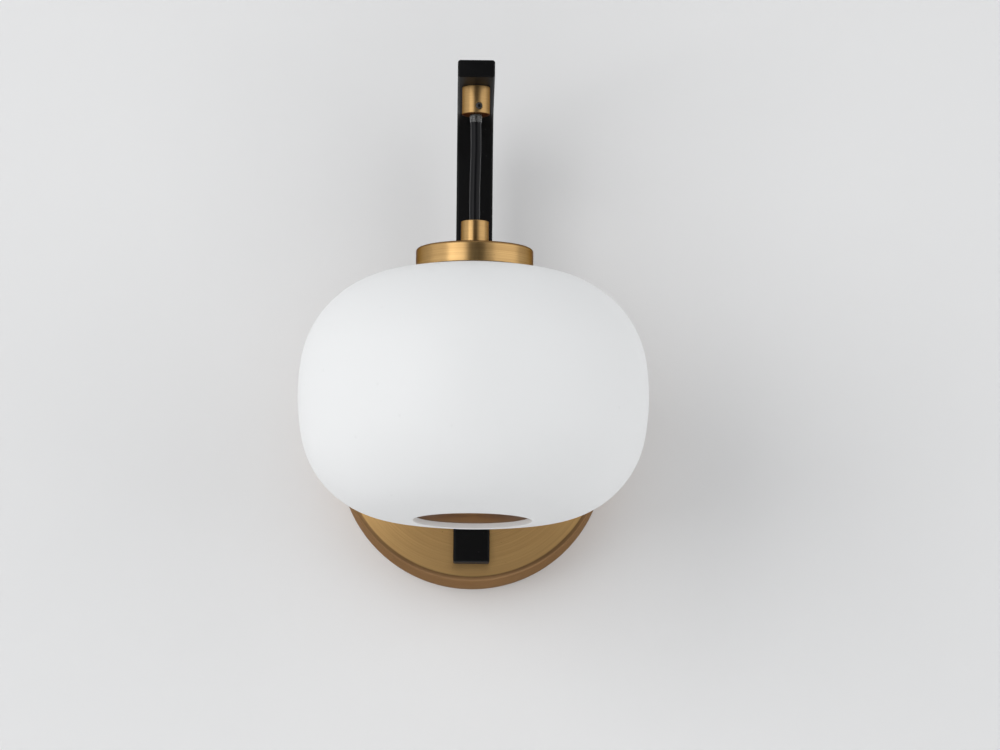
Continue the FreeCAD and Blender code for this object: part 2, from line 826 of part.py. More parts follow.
def heat_sink():
    """A turned heat sink: grooved rim in the cap, spigot through the globe's mouth."""
    top = cap_ceiling_z
    rim_height = top - heat_sink_base_z
    band = rim_height / (2 * heat_sink_groove_count + 1)
    corners = [(0, spigot_end_z, 0), (spigot_radius, spigot_end_z, 0)]
    corners.append((spigot_radius, heat_sink_base_z, 0))
    corners.append((sink_radius, heat_sink_base_z, 0))
    for step in range(heat_sink_groove_count):
        groove_low = heat_sink_base_z + band * (2 * step + 1)
        groove_high = groove_low + band
        corners.append((sink_radius, groove_low, 0))
        corners.append((sink_radius - heat_sink_groove_depth, groove_low, 0))
        corners.append((sink_radius - heat_sink_groove_depth, groove_high, 0))
        corners.append((sink_radius, groove_high, 0))
    corners.append((sink_radius, top, 0))
    corners.append((0, top, 0))
    sink = turned(corners)
    sink = sink.cut(upright(nipple_hole_radius, spigot_end_z - cut_overrun, top + cut_overrun))
    start_z = spigot_end_z - cut_overrun
    for point, _ in ring_places(board_screw_count, board_screw_circle_diameter, start_z):
        depth = board_screw_length + cut_overrun
        sink = sink.cut(Part.makeCylinder(
            board_screw_diameter / 2 + thread_clearance, depth, point))
    return sink


board_low_z = spigot_end_z - led_board_thickness


def led_board():
    """A ring-shaped circuit board under the spigot."""
    board = turned([
        (nipple_diameter / 2 + led_board_bore_margin, board_low_z, 0),
        (spigot_board_radius, board_low_z, 0),
        (spigot_board_radius, spigot_end_z, 0),
        (nipple_diameter / 2 + led_board_bore_margin, spigot_end_z, 0),
    ])
    start_z = board_low_z - cut_overrun
    for point, _ in ring_places(board_screw_count, board_screw_circle_diameter, start_z):
        board = board.cut(Part.makeCylinder(
            board_screw_diameter / 2 + hole_clearance,
            led_board_thickness + 2 * cut_overrun, point))
    return board


def led_chips():
    """LED packages in a ring on the board's lower face."""
    chips = []
    for point, angle in ring_places(led_count, led_circle_diameter, board_low_z - led_height):
        chip = Part.makeBox(
            led_side, led_side, led_height, FreeCAD.Vector(-led_side / 2, -led_side / 2, 0))
        turn = FreeCAD.Rotation(FreeCAD.Vector(0, 0, 1), -math.degrees(angle))
        chip.Placement = FreeCAD.Placement(point, turn)
        chips.append(chip)
    return chips


def led_board_screws():
    """Screws that clamp the board to the spigot."""
    screw = pan_screw(
        board_screw_diameter, board_screw_length, board_screw_diameter * 1.8,
        board_screw_diameter * 0.6, board_screw_diameter * 0.25)
    return [facing(screw, point, FreeCAD.Vector(0, 0, 1))
            for point, _ in ring_places(board_screw_count, board_screw_circle_diameter, board_low_z)]


# --- Globe and what holds it ------------------------------------------------------------------
def glass_globe():
    """The blown globe: a flat land at its mouth, a full shoulder and belly, a stepped foot."""
    mouth_radius = glass_mouth_diameter / 2
    recess_radius = disc_diameter / 2 + slip_clearance
    floor_z = glass_seat_z + glass_wall
    inner_lower = glass_lower(glass_wall)
    floor_edge = inner_lower.radius_at(glass_equator_z - floor_z)
    inner_top_z = glass_equator_z + glass_upper(glass_wall).rise_at(mouth_radius)
    outside_up = glass_upper().edges(glass_land_radius, 1)
    outside_down = glass_lower().edges(glass_foot_radius, -1)
    inside_up = glass_upper(glass_wall).edges(mouth_radius, 1, glass_inside_runs)
    inside_down = inner_lower.edges(floor_edge, -1, glass_inside_runs)
    foot_run = [
        (glass_foot_radius, glass_foot_z),
        (recess_radius + glass_foot_bevel, glass_foot_z),
        (recess_radius, glass_foot_z + glass_foot_bevel),
        (recess_radius, glass_seat_z),
        (mouth_radius, glass_seat_z),
        (mouth_radius, floor_z),
        (floor_edge, floor_z),
    ]
    mouth_run = [
        (mouth_radius, inner_top_z),
        (mouth_radius, glass_land_z),
        (glass_land_radius, glass_land_z),
    ]
    straights = []
    for run in (foot_run, mouth_run):
        points = [place(radius, fitting_axis, z) for radius, z in run]
        straights += [Part.makeLine(a, b) for a, b in zip(points, points[1:])]
    edges = Part.sortEdges(outside_up + outside_down + inside_up + inside_down + straights)[0]
    return Part.Face(Part.Wire(edges)).revolve(
        place(0, fitting_axis, 0), FreeCAD.Vector(0, 0, 1), 360)


def top_gasket():
    """A soft ring between the globe's land and the heat sink."""
    inner = glass_mouth_diameter / 2
    outer = glass_land_radius - slip_clearance
    return turned([
        (inner, glass_land_z, 0),
        (outer, glass_land_z, 0),
        (outer, heat_sink_base_z, 0),
        (inner, heat_sink_base_z, 0),
    ])


def centre_rod():
    """A threaded tube from the heat sink down to the bottom disc."""
    low = disc_back_z + disc_boss_height - rod_engagement
    high = cap_nipple_low_z - slip_clearance
    outer = nipple_diameter / 2
    return turned([
        (rod_bore / 2, low, 0),
        (outer, low, 0),
        (outer, high, 0),
        (rod_bore / 2, high, 0),
    ])


def bottom_gasket():
    """A soft ring between the bottom disc and the globe."""
    outer = disc_diameter / 2 - disc_edge_bevel
    inner = outer - disc_gasket_width
    return turned([
        (inner, disc_back_z, 0),
        (outer, disc_back_z, 0),
        (outer, glass_seat_z, 0),
        (inner, glass_seat_z, 0),
    ])


def bottom_disc():
    """A turned brass disc that closes the globe's foot, with a blind threaded boss inside."""
    radius = disc_diameter / 2
    boss_radius = disc_boss_diameter / 2
    boss_top_z = disc_back_z + disc_boss_height
    thread_floor_z = boss_top_z - rod_engagement - slip_clearance
    return turned([
        (0, disc_face_z, 0),
        (radius - disc_edge_bevel, disc_face_z, 0),
        (radius, disc_face_z + disc_edge_bevel, 0),
        (radius, disc_back_z, 0),
        (boss_radius, disc_back_z, 0),
        (boss_radius, boss_top_z, 0),
        (nipple_hole_radius, boss_top_z, 0),
        (nipple_hole_radius, thread_floor_z, 0),
        (0, thread_floor_z, 0),
    ])


# --- Every piece, by its name -----------------------------------------------------------------
pieces = {
    "wall_bracket": wall_bracket(),
    "ground_screw": ground_screw(),
    "canopy": canopy(),
    "canopy_side_screws": canopy_side_screws(),
    "arm_backing_plate": arm_backing_plate(),
    "wire_bushing": wire_bushing(),
    "arm_screws": arm_screws(),
    "arm_weld_nuts": arm_weld_nuts(),
    "led_driver": led_driver(),
    "driver_tape": driver_tape(),
    "driver_terminals": driver_terminals(),
    "arm": arm(),
    "arm_nipple": arm_nipple(),
    "arm_locknut": arm_locknut(),
    "cord_grip": cord_grip(),
    "grip_set_screw": set_screw(upper_screw_z, upper_screw_angle),
    "cord_collet": cord_collet(),
    "cord_upper_end": cord_upper_end(),
    "cord": cord(),
    "cord_lower_end": cord_lower_end(),
    "cord_stem": cord_stem(),
    "stem_set_screw": set_screw(lower_screw_z, lower_screw_angle),
    "cap": cap(),
    "cap_nipple": cap_nipple(),
    "heat_sink": heat_sink(),
    "led_board": led_board(),
    "led_chips": led_chips(),
    "led_board_screws": led_board_screws(),
    "top_gasket": top_gasket(),
    "glass_globe": glass_globe(),
    "centre_rod": centre_rod(),
    "bottom_gasket": bottom_gasket(),
    "bottom_disc": bottom_disc(),
}

os.makedirs("parts", exist_ok=True)
for name, solids in pieces.items():
    shape = Part.makeCompound(solids) if isinstance(solids, list) else solids
    shape.exportStep("parts/" + name + ".step")
    print(name, "solids", len(shape.Solids), "valid", shape.isValid(), "mm3", round(shape.Volume))
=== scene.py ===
"""A hanging-globe wall sconce: opal glass, brushed brass and a black bar, over its CAD frame."""

import functools
import math

import bpy
from mathutils import Matrix, Vector


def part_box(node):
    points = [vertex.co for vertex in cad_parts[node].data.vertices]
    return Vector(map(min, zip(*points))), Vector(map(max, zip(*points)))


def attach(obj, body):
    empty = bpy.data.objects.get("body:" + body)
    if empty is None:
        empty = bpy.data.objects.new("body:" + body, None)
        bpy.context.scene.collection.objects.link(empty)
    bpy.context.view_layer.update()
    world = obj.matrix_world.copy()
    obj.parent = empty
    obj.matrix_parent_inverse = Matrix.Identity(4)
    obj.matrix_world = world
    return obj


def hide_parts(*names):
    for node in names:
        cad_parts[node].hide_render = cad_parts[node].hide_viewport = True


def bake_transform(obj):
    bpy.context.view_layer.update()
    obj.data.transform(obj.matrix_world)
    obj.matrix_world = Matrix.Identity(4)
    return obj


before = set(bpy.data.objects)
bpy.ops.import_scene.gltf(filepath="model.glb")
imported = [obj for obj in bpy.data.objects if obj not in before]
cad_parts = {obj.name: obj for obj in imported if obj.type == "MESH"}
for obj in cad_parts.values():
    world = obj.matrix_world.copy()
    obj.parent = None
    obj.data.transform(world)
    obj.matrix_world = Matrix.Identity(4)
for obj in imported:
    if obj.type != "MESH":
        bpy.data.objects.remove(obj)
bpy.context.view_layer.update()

bl_info = {
    "name": "Hanging globe sconce",
    "version": (1, 0, 0),
    "blender": (4, 5, 0),
    "location": "3D View > Sidebar > Sconce",
    "description": "Builds the pieces, finishes and studio of a wall sconce with an opal globe",
    "category": "Add Mesh",
}

# --- Places read from the CAD frame, in metres ---
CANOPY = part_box("canopy")
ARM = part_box("arm")
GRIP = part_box("cord_grip")
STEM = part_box("cord_stem")
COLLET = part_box("cord_collet")
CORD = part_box("cord")
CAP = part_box("cap")
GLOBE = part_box("glass_globe")
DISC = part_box("bottom_disc")
SIDE_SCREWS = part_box("canopy_side_screws")
GRIP_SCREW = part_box("grip_set_screw")
STEM_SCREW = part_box("stem_set_screw")
LAMP_AXIS = Vector(((CORD[0].x + CORD[1].x) / 2, (CORD[0].y + CORD[1].y) / 2, 0))
UP = Vector((0, 0, 1))
ROOM = Vector((0, -1, 0))
QUARTER = math.pi / 2

# --- Small sizes of the pieces, in metres ---
BURR = 0.0003  # width of the flats on thin edges
RIM_SHADE_FROM = 0.0768  # radius from which the canopy's rim gets painted shade and a painted dark reflection
SIDE_SHANK, SIDE_SHANK_LENGTH = 0.0018, 0.0060  # radius and length
SIDE_SLOT = 0.0010
GRIP_BORE, STEM_BORE, BORE_DEPTH = 0.00355, 0.00305, 0.0065
SCREW_RADIUS, SCREW_LENGTH = 0.0020, 0.0039  # of the set screws
SCREW_RECESS = 0.0005  # how deep they stand in their fittings
SCREW_RISE = 0.0043  # how far they are from the fittings' mouths
SOCKET_RADIUS, SOCKET_DEPTH = 0.00115, 0.0016  # of their hexagons, over the corners
COLLET_BORE, COLLET_TAPER = 0.00305, 0.0040
NIPPLE_HOLE = 0.00505  # radius of the holes for the nipple and the rod
GLASS_RECESS = 0.0055  # depth of the recess in the globe's foot
DISC_THICKNESS, DISC_BOSS, ROD_DEPTH = 0.0016, 0.0075, 0.0063

# --- The studio: places in metres, angles in degrees, power in watts ---
LENS = 259.39
CAMERA_PLACE = (-0.0134, -4.2776, -0.6020)
CAMERA_TURNS = ((-0.399, "Z"), (8.673, "X"), (-0.488, "Y"), (90, "X"))
LAMPS_LOOK_AT = Vector((0, -0.10, 0.03))
LAMPS = (  # name, place, width, height, power
    ("Key, left of the camera", (-1.73, -2.55, 0.35), 1.90, 2.00, 25),
    ("Panel, left", (-2.05, -1.05, 0.35), 2.20, 2.00, 8),
    ("Panel, right", (2.00, -1.10, 0.35), 2.30, 2.00, 13),
    ("Low, front", (0.00, -1.90, -1.90), 2.00, 1.00, 6.5),
)
SHEETS = (  # name, side, place, turn about X
    ("Wall", 9.0, (0, 0.0004, 0), 90),
    ("Floor", 12.0, (0, -5.5, -2.2), 0),
)
BOX_OPENING = 0.0770  # radius of the wall's opening for the junction box
CARD_SIDE, CARD_PLACE, CARD_STRETCH = 3.2, (0.35, -5.3, 0.75), (1.0, 1.8, 1.0)


def size(label, default, about):
    """A length that a user may change."""
    return bpy.props.FloatProperty(
        name=label, default=default, description=about, unit="LENGTH", subtype="DISTANCE",
        min=0, precision=5)


def turn(label, degrees, about):
    """An angle that a user may change."""
    return bpy.props.FloatProperty(
        name=label, default=math.radians(degrees), description=about, subtype="ANGLE",
        unit="ROTATION")


def colour(label, default, about):
    """A linear colour that a user may change."""
    return bpy.props.FloatVectorProperty(
        name=label, default=default, description=about, subtype="COLOR", size=3, min=0, max=1)


class SconceSizes(bpy.types.PropertyGroup):
    """Sizes of the pieces that the frame's boxes don't give."""

    canopy_wall: size("Canopy wall", 0.0012, "Sheet thickness of the canopy")
    canopy_edge: size("Canopy edge", 0.0030, "Radius of the canopy's front edge")
    arm_corner: size("Bar corner", 0.0016, "Radius of the bar's long corners")
    arm_end: size("Bar end", 0.0013, "Radius of the bar's end edges")
    arm_thickness: size("Bar thickness", 0.0102, "Thickness of the bar")
    arm_bend: size("Bar bend", 0.0280, "Inside radius of the bar's bend")
    fitting_edge: size("Fitting edge", 0.0004, "Radius of the cord fittings' edges")
    cord_diameter: size("Cord diameter", 0.0060, "Diameter of the cord")
    cord_length: size("Cord length", 0.0585, "Free length of the cord between its fittings")
    cord_bend: size("Cord bend", 0.0072, "Length of cord under the collet that bends with a swing")
    cap_wall: size("Cap wall", 0.0012, "Wall of the cap")
    cap_edge: size("Cap edge", 0.0016, "Radius of the cap's top edge")
    glass_wall: size("Glass wall", 0.0030, "Thickness of the glass")
    glass_land: size("Glass land", 0.0330, "Radius of the flat land round the glass's mouth")
    glass_mouth: size("Glass mouth", 0.0273, "Radius of the glass's mouth")
    glass_foot: size("Glass foot", 0.03575, "Outer radius of the glass's foot")
    upper_side_radius: size("Upper side radius", 0.1310, "Side arc above the widest line")
    upper_side_angle: turn("Upper side angle", 8.7, "Sweep of the side arc above")
    shoulder_radius: size("Shoulder radius", 0.0611, "Radius of the shoulder")
    shoulder_angle: turn("Shoulder angle", 68.8, "Sweep of the shoulder")
    crown_radius: size("Crown radius", 0.2530, "Radius of the crown")
    lower_side_radius: size("Lower side radius", 0.1336, "Side arc below the widest line")
    lower_side_angle: turn("Lower side angle", 10.6, "Sweep of the side arc below")
    belly_radius: size("Belly radius", 0.0572, "Radius of the belly's turn")
    belly_angle: turn("Belly angle", 70.6, "Sweep of the belly's turn")
    floor_radius: size("Floor radius", 0.3550, "Radius of the glass's underside")
    upper_screw_angle: turn("Upper screw angle", 13, "Where the upper set screw looks")
    lower_screw_angle: turn("Lower screw angle", 180, "Where the lower set screw looks")


class SconceColours(bpy.types.PropertyGroup):
    """Colours of the finishes."""

    brass: colour("Brass", (0.57, 0.362, 0.150), "Satin brushed brass")
    brass_dark: colour("Brass shade", (0.35, 0.203, 0.080), "Brass in its grain lines")
    black: colour("Black coat", (0.0026, 0.0026, 0.0028), "Satin black powder coat")
    opal: colour("Opal glass", (0.86, 0.865, 0.865), "Etched opal glass")
    jacket: colour("Cord jacket", (0.0035, 0.0035, 0.0042), "Matt black cord")
    collet: colour("Collet", (0.15, 0.15, 0.15), "Clear grey nylon")
    zinc: colour("Zinc", (0.58, 0.59, 0.60), "Bright zinc plate")
    wall: colour("Wall", (0.84, 0.84, 0.84), "Painted wall")


# --- Modelling helpers ---
def deselect():
    """Leaves nothing selected and no piece active."""
    bpy.ops.object.select_all(action="DESELECT")
    bpy.context.view_layer.objects.active = None


def only(piece):
    """Makes one piece the selected and active one."""
    deselect()
    piece.select_set(True)
    bpy.context.view_layer.objects.active = piece


def edit(piece):
    """Opens a piece in edit mode with all of its points selected."""
    only(piece)
    bpy.ops.object.mode_set(mode="EDIT")
    bpy.ops.mesh.select_mode(type="VERT")
    everything()


def everything():
    """Selects the whole mesh in edit mode."""
    bpy.ops.mesh.select_all(action="SELECT")


def done():
    """Closes edit mode."""
    bpy.ops.object.mode_set(mode="OBJECT")


def pick_faces(piece, test):
    """In edit mode, selects the faces that pass a test."""
    bpy.ops.mesh.select_all(action="DESELECT")
    done()
    for face in piece.data.polygons:
        face.select = test(face)
    bpy.ops.object.mode_set(mode="EDIT")


def extrude_by(step):
    """Extrudes what is selected and moves the new part."""
    bpy.ops.mesh.extrude_region_move(TRANSFORM_OT_translate={"value": tuple(step)})


def mend():
    """Merges doubles and turns all faces outwards, in edit mode."""
    everything()
    bpy.ops.mesh.remove_doubles(threshold=1e-6)
    bpy.ops.mesh.normals_make_consistent(inside=False)


def settle(piece):
    """Puts a piece's place in its mesh and its origin at the frame's."""
    only(piece)
    bpy.ops.object.transform_apply(location=True, rotation=True, scale=True)


def smooth(piece):
    """Shades a piece smooth, with its sharper edges kept."""
    only(piece)
    bpy.ops.object.shade_smooth_by_angle(angle=math.radians(32))


def soften(piece, width, degrees):
    """Rounds the edges that are sharper than an angle, with a bevel that is applied."""
    only(piece)
    bevel = piece.modifiers.new("Soft edges", "BEVEL")
    bevel.width = width
    bevel.segments = 2
    bevel.limit_method = "ANGLE"
    bevel.angle_limit = math.radians(degrees)
    bpy.ops.object.modifier_apply(modifier=bevel.name)


def hold(name, data):
    """A new object in the scene for a mesh, a curve, a lamp or a camera."""
    piece = bpy.data.objects.new(name, data)
    bpy.context.scene.collection.objects.link(piece)
    return piece


def carve(piece, cutter):
    """Cuts one closed shape out of a piece and removes the cutter."""
    only(piece)
    cut = piece.modifiers.new("Cut", "BOOLEAN")
    cut.operation = "DIFFERENCE"
    cut.solver = "EXACT"
    cut.object = cutter
    bpy.ops.object.modifier_apply(modifier=cut.name)
    mesh = cutter.data
    bpy.data.objects.remove(cutter)
    bpy.data.meshes.remove(mesh)


def aim(piece, foot, direction):
    """Moves a piece built up +Z from the origin to a point, looking in a direction."""
    piece.rotation_mode = "QUATERNION"
    piece.rotation_quaternion = UP.rotation_difference(Vector(direction))
    piece.location = foot
    settle(piece)


def start(name, kind, **shape):
    """One of Blender's starting shapes."""
    deselect()
    getattr(bpy.ops.mesh, f"primitive_{kind}_add")(**shape)
    piece = bpy.context.active_object
    piece.name = name
    return piece


def primitive(name, kind, scale=(1, 1, 1), **shape):
    """A starting shape with its place and its scale in its mesh."""
    piece = start(name, kind, **shape)
    piece.scale = scale
    settle(piece)
    return piece


def spin(steps, angle, centre, axis):
    """Extrudes what is selected round an axis."""
    bpy.ops.mesh.spin(steps=steps, angle=angle, center=centre, axis=axis, use_auto_merge=False)


def turned(name, moves, steps):
    """A piece turned about +Z from an outline of points (r, z), joined by straight lines, and
    arcs (r, z, angle, steps) about a centre. It starts and ends on the axis, or closes."""
    here = Vector((moves[0][0], 0, moves[0][1]))
    piece = start(name, "plane", size=0.001, location=here)
    edit(piece)
    bpy.ops.mesh.merge(type="CENTER")
    for radius, height, *arc in moves[1:]:
        point = Vector((radius, 0, height))
        if arc:
            angle, arc_steps = arc
            spin(arc_steps, angle, point, (0, 1, 0))
            here = point + Matrix.Rotation(angle, 3, ROOM) @ (here - point)
        else:
            extrude_by(point - here)
            here = point
    everything()
    spin(steps, 2 * math.pi, (0, 0, 0), (0, 0, 1))
    mend()
    done()
    settle(piece)
    return piece


def spans(box):
    """The radius and the height of a piece turned about +Z, from its box."""
    return (box[1].x - box[0].x) / 2, box[1].z - box[0].z


def looks(angle):
    """The level direction at an angle from the room."""
    return Vector((math.sin(angle), -math.cos(angle), 0))


def finish(piece, made, body, node):
    """Shades a piece smooth, gives it its material and its body, and hides the CAD part that it
    stands for.
    """
    smooth(piece)
    piece.data.materials.clear()
    piece.data.materials.append(made)
    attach(piece, body)
    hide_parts(node)


# --- Node helpers ---
class Nodes:
    """Adds nodes to a tree. A value is a number, a vector, a colour or another node's socket."""

    def __init__(self, tree):
        self.tree = tree

    def put(self, socket, value):
        """Links a socket, or sets it."""
        if isinstance(value, bpy.types.NodeSocket):
            self.tree.links.new(value, socket)
        elif socket.type == "RGBA":
            socket.default_value = (*value[:3], 1)
        else:
            socket.default_value = value

    def add(self, kind, inputs=None, **settings):
        """A node with its settings and its inputs."""
        made = self.tree.nodes.new("ShaderNode" + kind)
        for key, value in settings.items():
            setattr(made, key, value)
        for key, value in (inputs or {}).items():
            self.put(made.inputs[key], value)
        return made

    def maths(self, operation, *values, clamp=False):
        """The result of a Math node."""
        made = self.add("Math", dict(enumerate(values)), operation=operation, use_clamp=clamp)
        return made.outputs[0]

    def times(self, first, second):
        """A product."""
        return self.maths("MULTIPLY", first, second)

    def plus(self, first, second, clamp=False):
        """A sum."""
        return self.maths("ADD", first, second, clamp=clamp)

    def mix(self, factor, first, second, kind="MIX"):
        """A mix of two colours."""
        return self.add("Mix", {0: factor, 6: first, 7: second},
                        data_type="RGBA", blend_type=kind).outputs[2]

    def deepen(self, mask, base, tint):
        """A colour that is multiplied by a tint where a mask is 1."""
        return self.mix(mask, base, self.mix(1.0, base, tint, "MULTIPLY"))

    def spread(self, value, low, high):
        """Stretches a 0 to 1 value to lie between two numbers."""
        return self.add("MapRange", {"Value": value, "To Min": low, "To Max": high}).outputs[0]

    def band(self, value, start, end):
        """0 at a start and 1 at an end, with a smooth rise between."""
        return self.add("MapRange", {"Value": value, "From Min": start, "From Max": end},
                        interpolation_type="SMOOTHSTEP").outputs[0]

    def noise(self, place, scale, detail=2.0, roughness=0.5, distortion=0.0):
        """The value of a Noise node."""
        return self.add("TexNoise", {
            "Vector": place, "Scale": scale, "Detail": detail, "Roughness": roughness,
            "Distortion": distortion}).outputs["Fac"]


def group(name, inputs, outputs):
    """A new node group: a position and numbers in, numbers out. Gives its nodes and sockets."""
    tree = bpy.data.node_groups.new(name, "ShaderNodeTree")
    socket = tree.interface.new_socket
    socket(name="Position", in_out="INPUT", socket_type="NodeSocketVector")
    for label, value in inputs.items():
        socket(name=label, in_out="INPUT", socket_type="NodeSocketFloat").default_value = value
    for label in outputs:
        socket(name=label, in_out="OUTPUT", socket_type="NodeSocketFloat")
    return (Nodes(tree), tree.nodes.new("NodeGroupInput").outputs,
            tree.nodes.new("NodeGroupOutput").inputs)


@functools.cache
def turned_grain():
    """Fine brushed lines round an axis: position is centred on the axis, with Z along it."""
    nodes, into, out = group("Turned grain", {"Lines": 2600.0, "Reach": 14.0},
                             ("Grain", "Fine", "Streaks"))
    x, y, z = nodes.add("SeparateXYZ", {"Vector": into["Position"]}).outputs
    square = nodes.plus(nodes.times(x, x), nodes.times(y, y))
    across = nodes.plus(nodes.maths("SQRT", square), z)
    for label, factor, reach, seed in (
            ("Grain", 1.0, 1.0, 0.0), ("Fine", 3.1, 1.7, 7.0), ("Streaks", 0.16, 0.6, 13.0)):
        lines = nodes.times(across, nodes.times(into["Lines"], factor))
        along = [nodes.maths("MULTIPLY_ADD", part, nodes.times(into["Reach"], reach), seed)
                 for part in (x, y)]
        place = nodes.add("CombineXYZ", {"X": lines, "Y": along[0], "Z": along[1]}).outputs[0]
        nodes.put(out[label], nodes.noise(place, 1.0, 2.0, 0.55))
    return nodes.tree


@functools.cache
def worn_edges():
    """1 on outer edges, broken up by a noise."""
    nodes, into, out = group("Worn edges", {"Start": 0.52, "End": 0.60, "Break up": 260.0},
                             ("Edge",))
    bend = nodes.add("NewGeometry").outputs["Pointiness"]
    noise = nodes.noise(into["Position"], into["Break up"], 3.0)
    ramp = nodes.add("MapRange", {"Value": bend, "From Min": into["Start"],
                                  "From Max": into["End"]}).outputs[0]
    nodes.put(out["Edge"], nodes.times(ramp, nodes.spread(noise, 0.35, 1.0)))
    return nodes.tree


@functools.cache
def handling():
    """Soft patches where a surface has been touched or has aged, and a few small specks."""
    nodes, into, out = group("Handling marks", {"Patches": 28.0, "Specks": 420.0},
                             ("Patch", "Speck"))
    nodes.put(out["Patch"], nodes.noise(into["Position"], into["Patches"], 4.0, 0.6, 0.6))
    dots = nodes.add("TexVoronoi", {"Vector": into["Position"], "Scale": into["Specks"],
                                    "Randomness": 1.0}).outputs
    rare = nodes.add("TexWhiteNoise", {"Vector": dots["Position"]},
                     noise_dimensions="3D").outputs["Value"]
    near = nodes.maths("SUBTRACT", 1.0, nodes.band(dots["Distance"], 0.05, 0.16))
    nodes.put(out["Speck"], nodes.times(nodes.band(rare, 0.86, 0.90), near))
    return nodes.tree


@functools.cache
def fine_skin():
    """The fine pebble of a sprayed, moulded or etched surface, and slow clouds in it."""
    nodes, into, out = group("Fine skin", {"Grains": 2500.0}, ("Pebble", "Cloud"))
    slow = nodes.times(into["Grains"], 0.03)
    nodes.put(out["Pebble"], nodes.noise(into["Position"], into["Grains"]))
    nodes.put(out["Cloud"], nodes.noise(into["Position"], slow, 3.0))
    return nodes.tree


class Finish(Nodes):
    """A new material: its nodes, its shader and the place that it is painted by."""

    def __init__(self, name, centre=(0, 0, 0), turn_by=(0, 0, 0)):
        self.made = bpy.data.materials.new(name)
        self.made.use_nodes = True
        super().__init__(self.made.node_tree)
        self.tree.nodes.clear()
        self.colours = bpy.context.scene.sconce_colours
        self.shader = self.add("BsdfPrincipled")
        self.output = self.add("OutputMaterial", {"Surface": self.shader.outputs["BSDF"]})
        moved = self.add("VectorMath", {0: self.add("TexCoord").outputs["Object"], 1: centre},
                         operation="SUBTRACT").outputs[0]
        self.place = self.add("Mapping", {"Rotation": turn_by, "Vector": moved},
                              vector_type="POINT").outputs[0]

    def use(self, build, **values):
        """Places a node group, with its own values. Gives its outputs."""
        return self.add("Group", {"Position": self.place, **values}, node_tree=build()).outputs

    def height(self):
        """How high a point lies."""
        return self.add("SeparateXYZ", {"Vector": self.place}).outputs["Z"]

    def away(self, flatten=(1, 1, 0)):
        """How far a point lies from an axis through the centre of the place."""
        flat = self.add("VectorMath", {0: self.place, 1: flatten}, operation="MULTIPLY")
        return self.add("VectorMath", {0: flat.outputs[0]}, operation="LENGTH").outputs["Value"]

    def give(self, base, rough, **others):
        """Gives the shader its colour, its roughness and its other values."""
        for key, value in {"Base Color": base, "Roughness": rough, **others}.items():
            self.put(self.shader.inputs[key.replace("_", " ")], value)

    def bump(self, height, depth, strength):
        """Feeds a height in metres to the shader's normal. Gives the material."""
        made = self.add("Bump", {"Strength": strength, "Distance": depth, "Height": height})
        self.put(self.shader.inputs["Normal"], made.outputs["Normal"])
        return self.made


# --- Finishes ---
def scaled(base, factor):
    """A colour made darker or lighter."""
    return [factor * part for part in base]


def brushed_brass(name, centre, turn_by=(0, 0, 0), axis="Z", painted_shade_from=None,
                  rough=(0.28, 0.38), level=1.0, top=None, under=None, shade=0.30):
    """Satin brass with fine lines round an axis and paler edges. Where given, it has painted shade
    and a painted dark reflection from a radius outwards, a painted dark reflection along the rim
    at a top height, and painted shade on an underside. Its level makes a piece's copy of the
    brass lighter or darker, as painted light."""
    brass = Finish(name, centre, turn_by)
    colours = brass.colours
    lines = brass.use(turned_grain)
    marks = brass.use(handling)
    edge = brass.use(worn_edges)["Edge"]
    streak = brass.plus(brass.times(lines["Grain"], 0.42),
                        brass.plus(brass.times(lines["Fine"], 0.52),
                                   brass.times(lines["Streaks"], 0.06)))
    tone = brass.spread(brass.band(streak, 0.36, 0.64), shade, 1.0)
    # painted light: the level makes each piece's copy of the brass lighter or darker
    base = brass.mix(tone, scaled(colours.brass_dark, level), scaled(colours.brass, level))
    # painted shade and painted dark reflection from a radius outwards: the canopy's rim, and all
    # of the disc
    if painted_shade_from is not None:
        base = paint_rim_shade(brass, base, painted_shade_from)
    # painted dark reflection: a thin dark line round the cap's top edge
    if top is not None:
        rim = spans(CAP)[0] - 0.0022
        outer = brass.times(brass.band(brass.away(), rim, rim + 0.0012),
                            brass.band(brass.height(), top - 0.0016, top - 0.0003))
        base = brass.deepen(outer, base, (0.42, 0.36, 0.36))
    aged = brass.mix(brass.spread(marks["Patch"], 0.0, 0.22), base, scaled(colours.brass, 0.86))
    # painted shade on a fitting's underside
    if under is not None:
        painted_underside_shade = brass.band(brass.height(), under + 0.0005, under + 0.0002)
        aged = brass.deepen(painted_underside_shade, aged, (0.28, 0.20, 0.19))
    paler = brass.mix(brass.times(edge, 0.25), aged, (0.70, 0.50, 0.24))
    speckled = brass.mix(brass.times(marks["Speck"], 0.5), paler, (0.16, 0.09, 0.04))
    polish = brass.plus(brass.spread(lines["Fine"], *rough),
                        brass.spread(marks["Patch"], -0.03, 0.05), clamp=True)
    round_axis = brass.add("Tangent", direction_type="RADIAL", axis=axis).outputs[0]
    brass.give(speckled, polish, Metallic=1.0, Specular_Tint=(0.33, 0.27, 0.26),
               Anisotropic=0.7, Anisotropic_Rotation=0.25, Tangent=round_axis)
    grain = brass.plus(brass.times(lines["Grain"], 0.6), brass.times(lines["Fine"], 0.4))
    return brass.bump(grain, 0.00002, 0.35)


def paint_rim_shade(brass, base, start):
    """Paints shade and dark reflection on the brass from a radius outwards, with a painted dark
    reflection line where it starts.
    """
    away = brass.away()
    # painted shade over the rim, and a painted dark reflection line where it starts
    outside = brass.band(away, start, start + 0.0012)
    line = brass.times(
        brass.band(away, start - 0.0008, start),
        brass.maths("SUBTRACT", 1.0, brass.band(away, start + 0.0010, start + 0.0020)))
    painted_dark = brass.mix(1.0, base, (0.30, 0.26, 0.30), "MULTIPLY")
    return brass.mix(line, brass.deepen(outside, base, (0.57, 0.53, 0.66)), painted_dark)


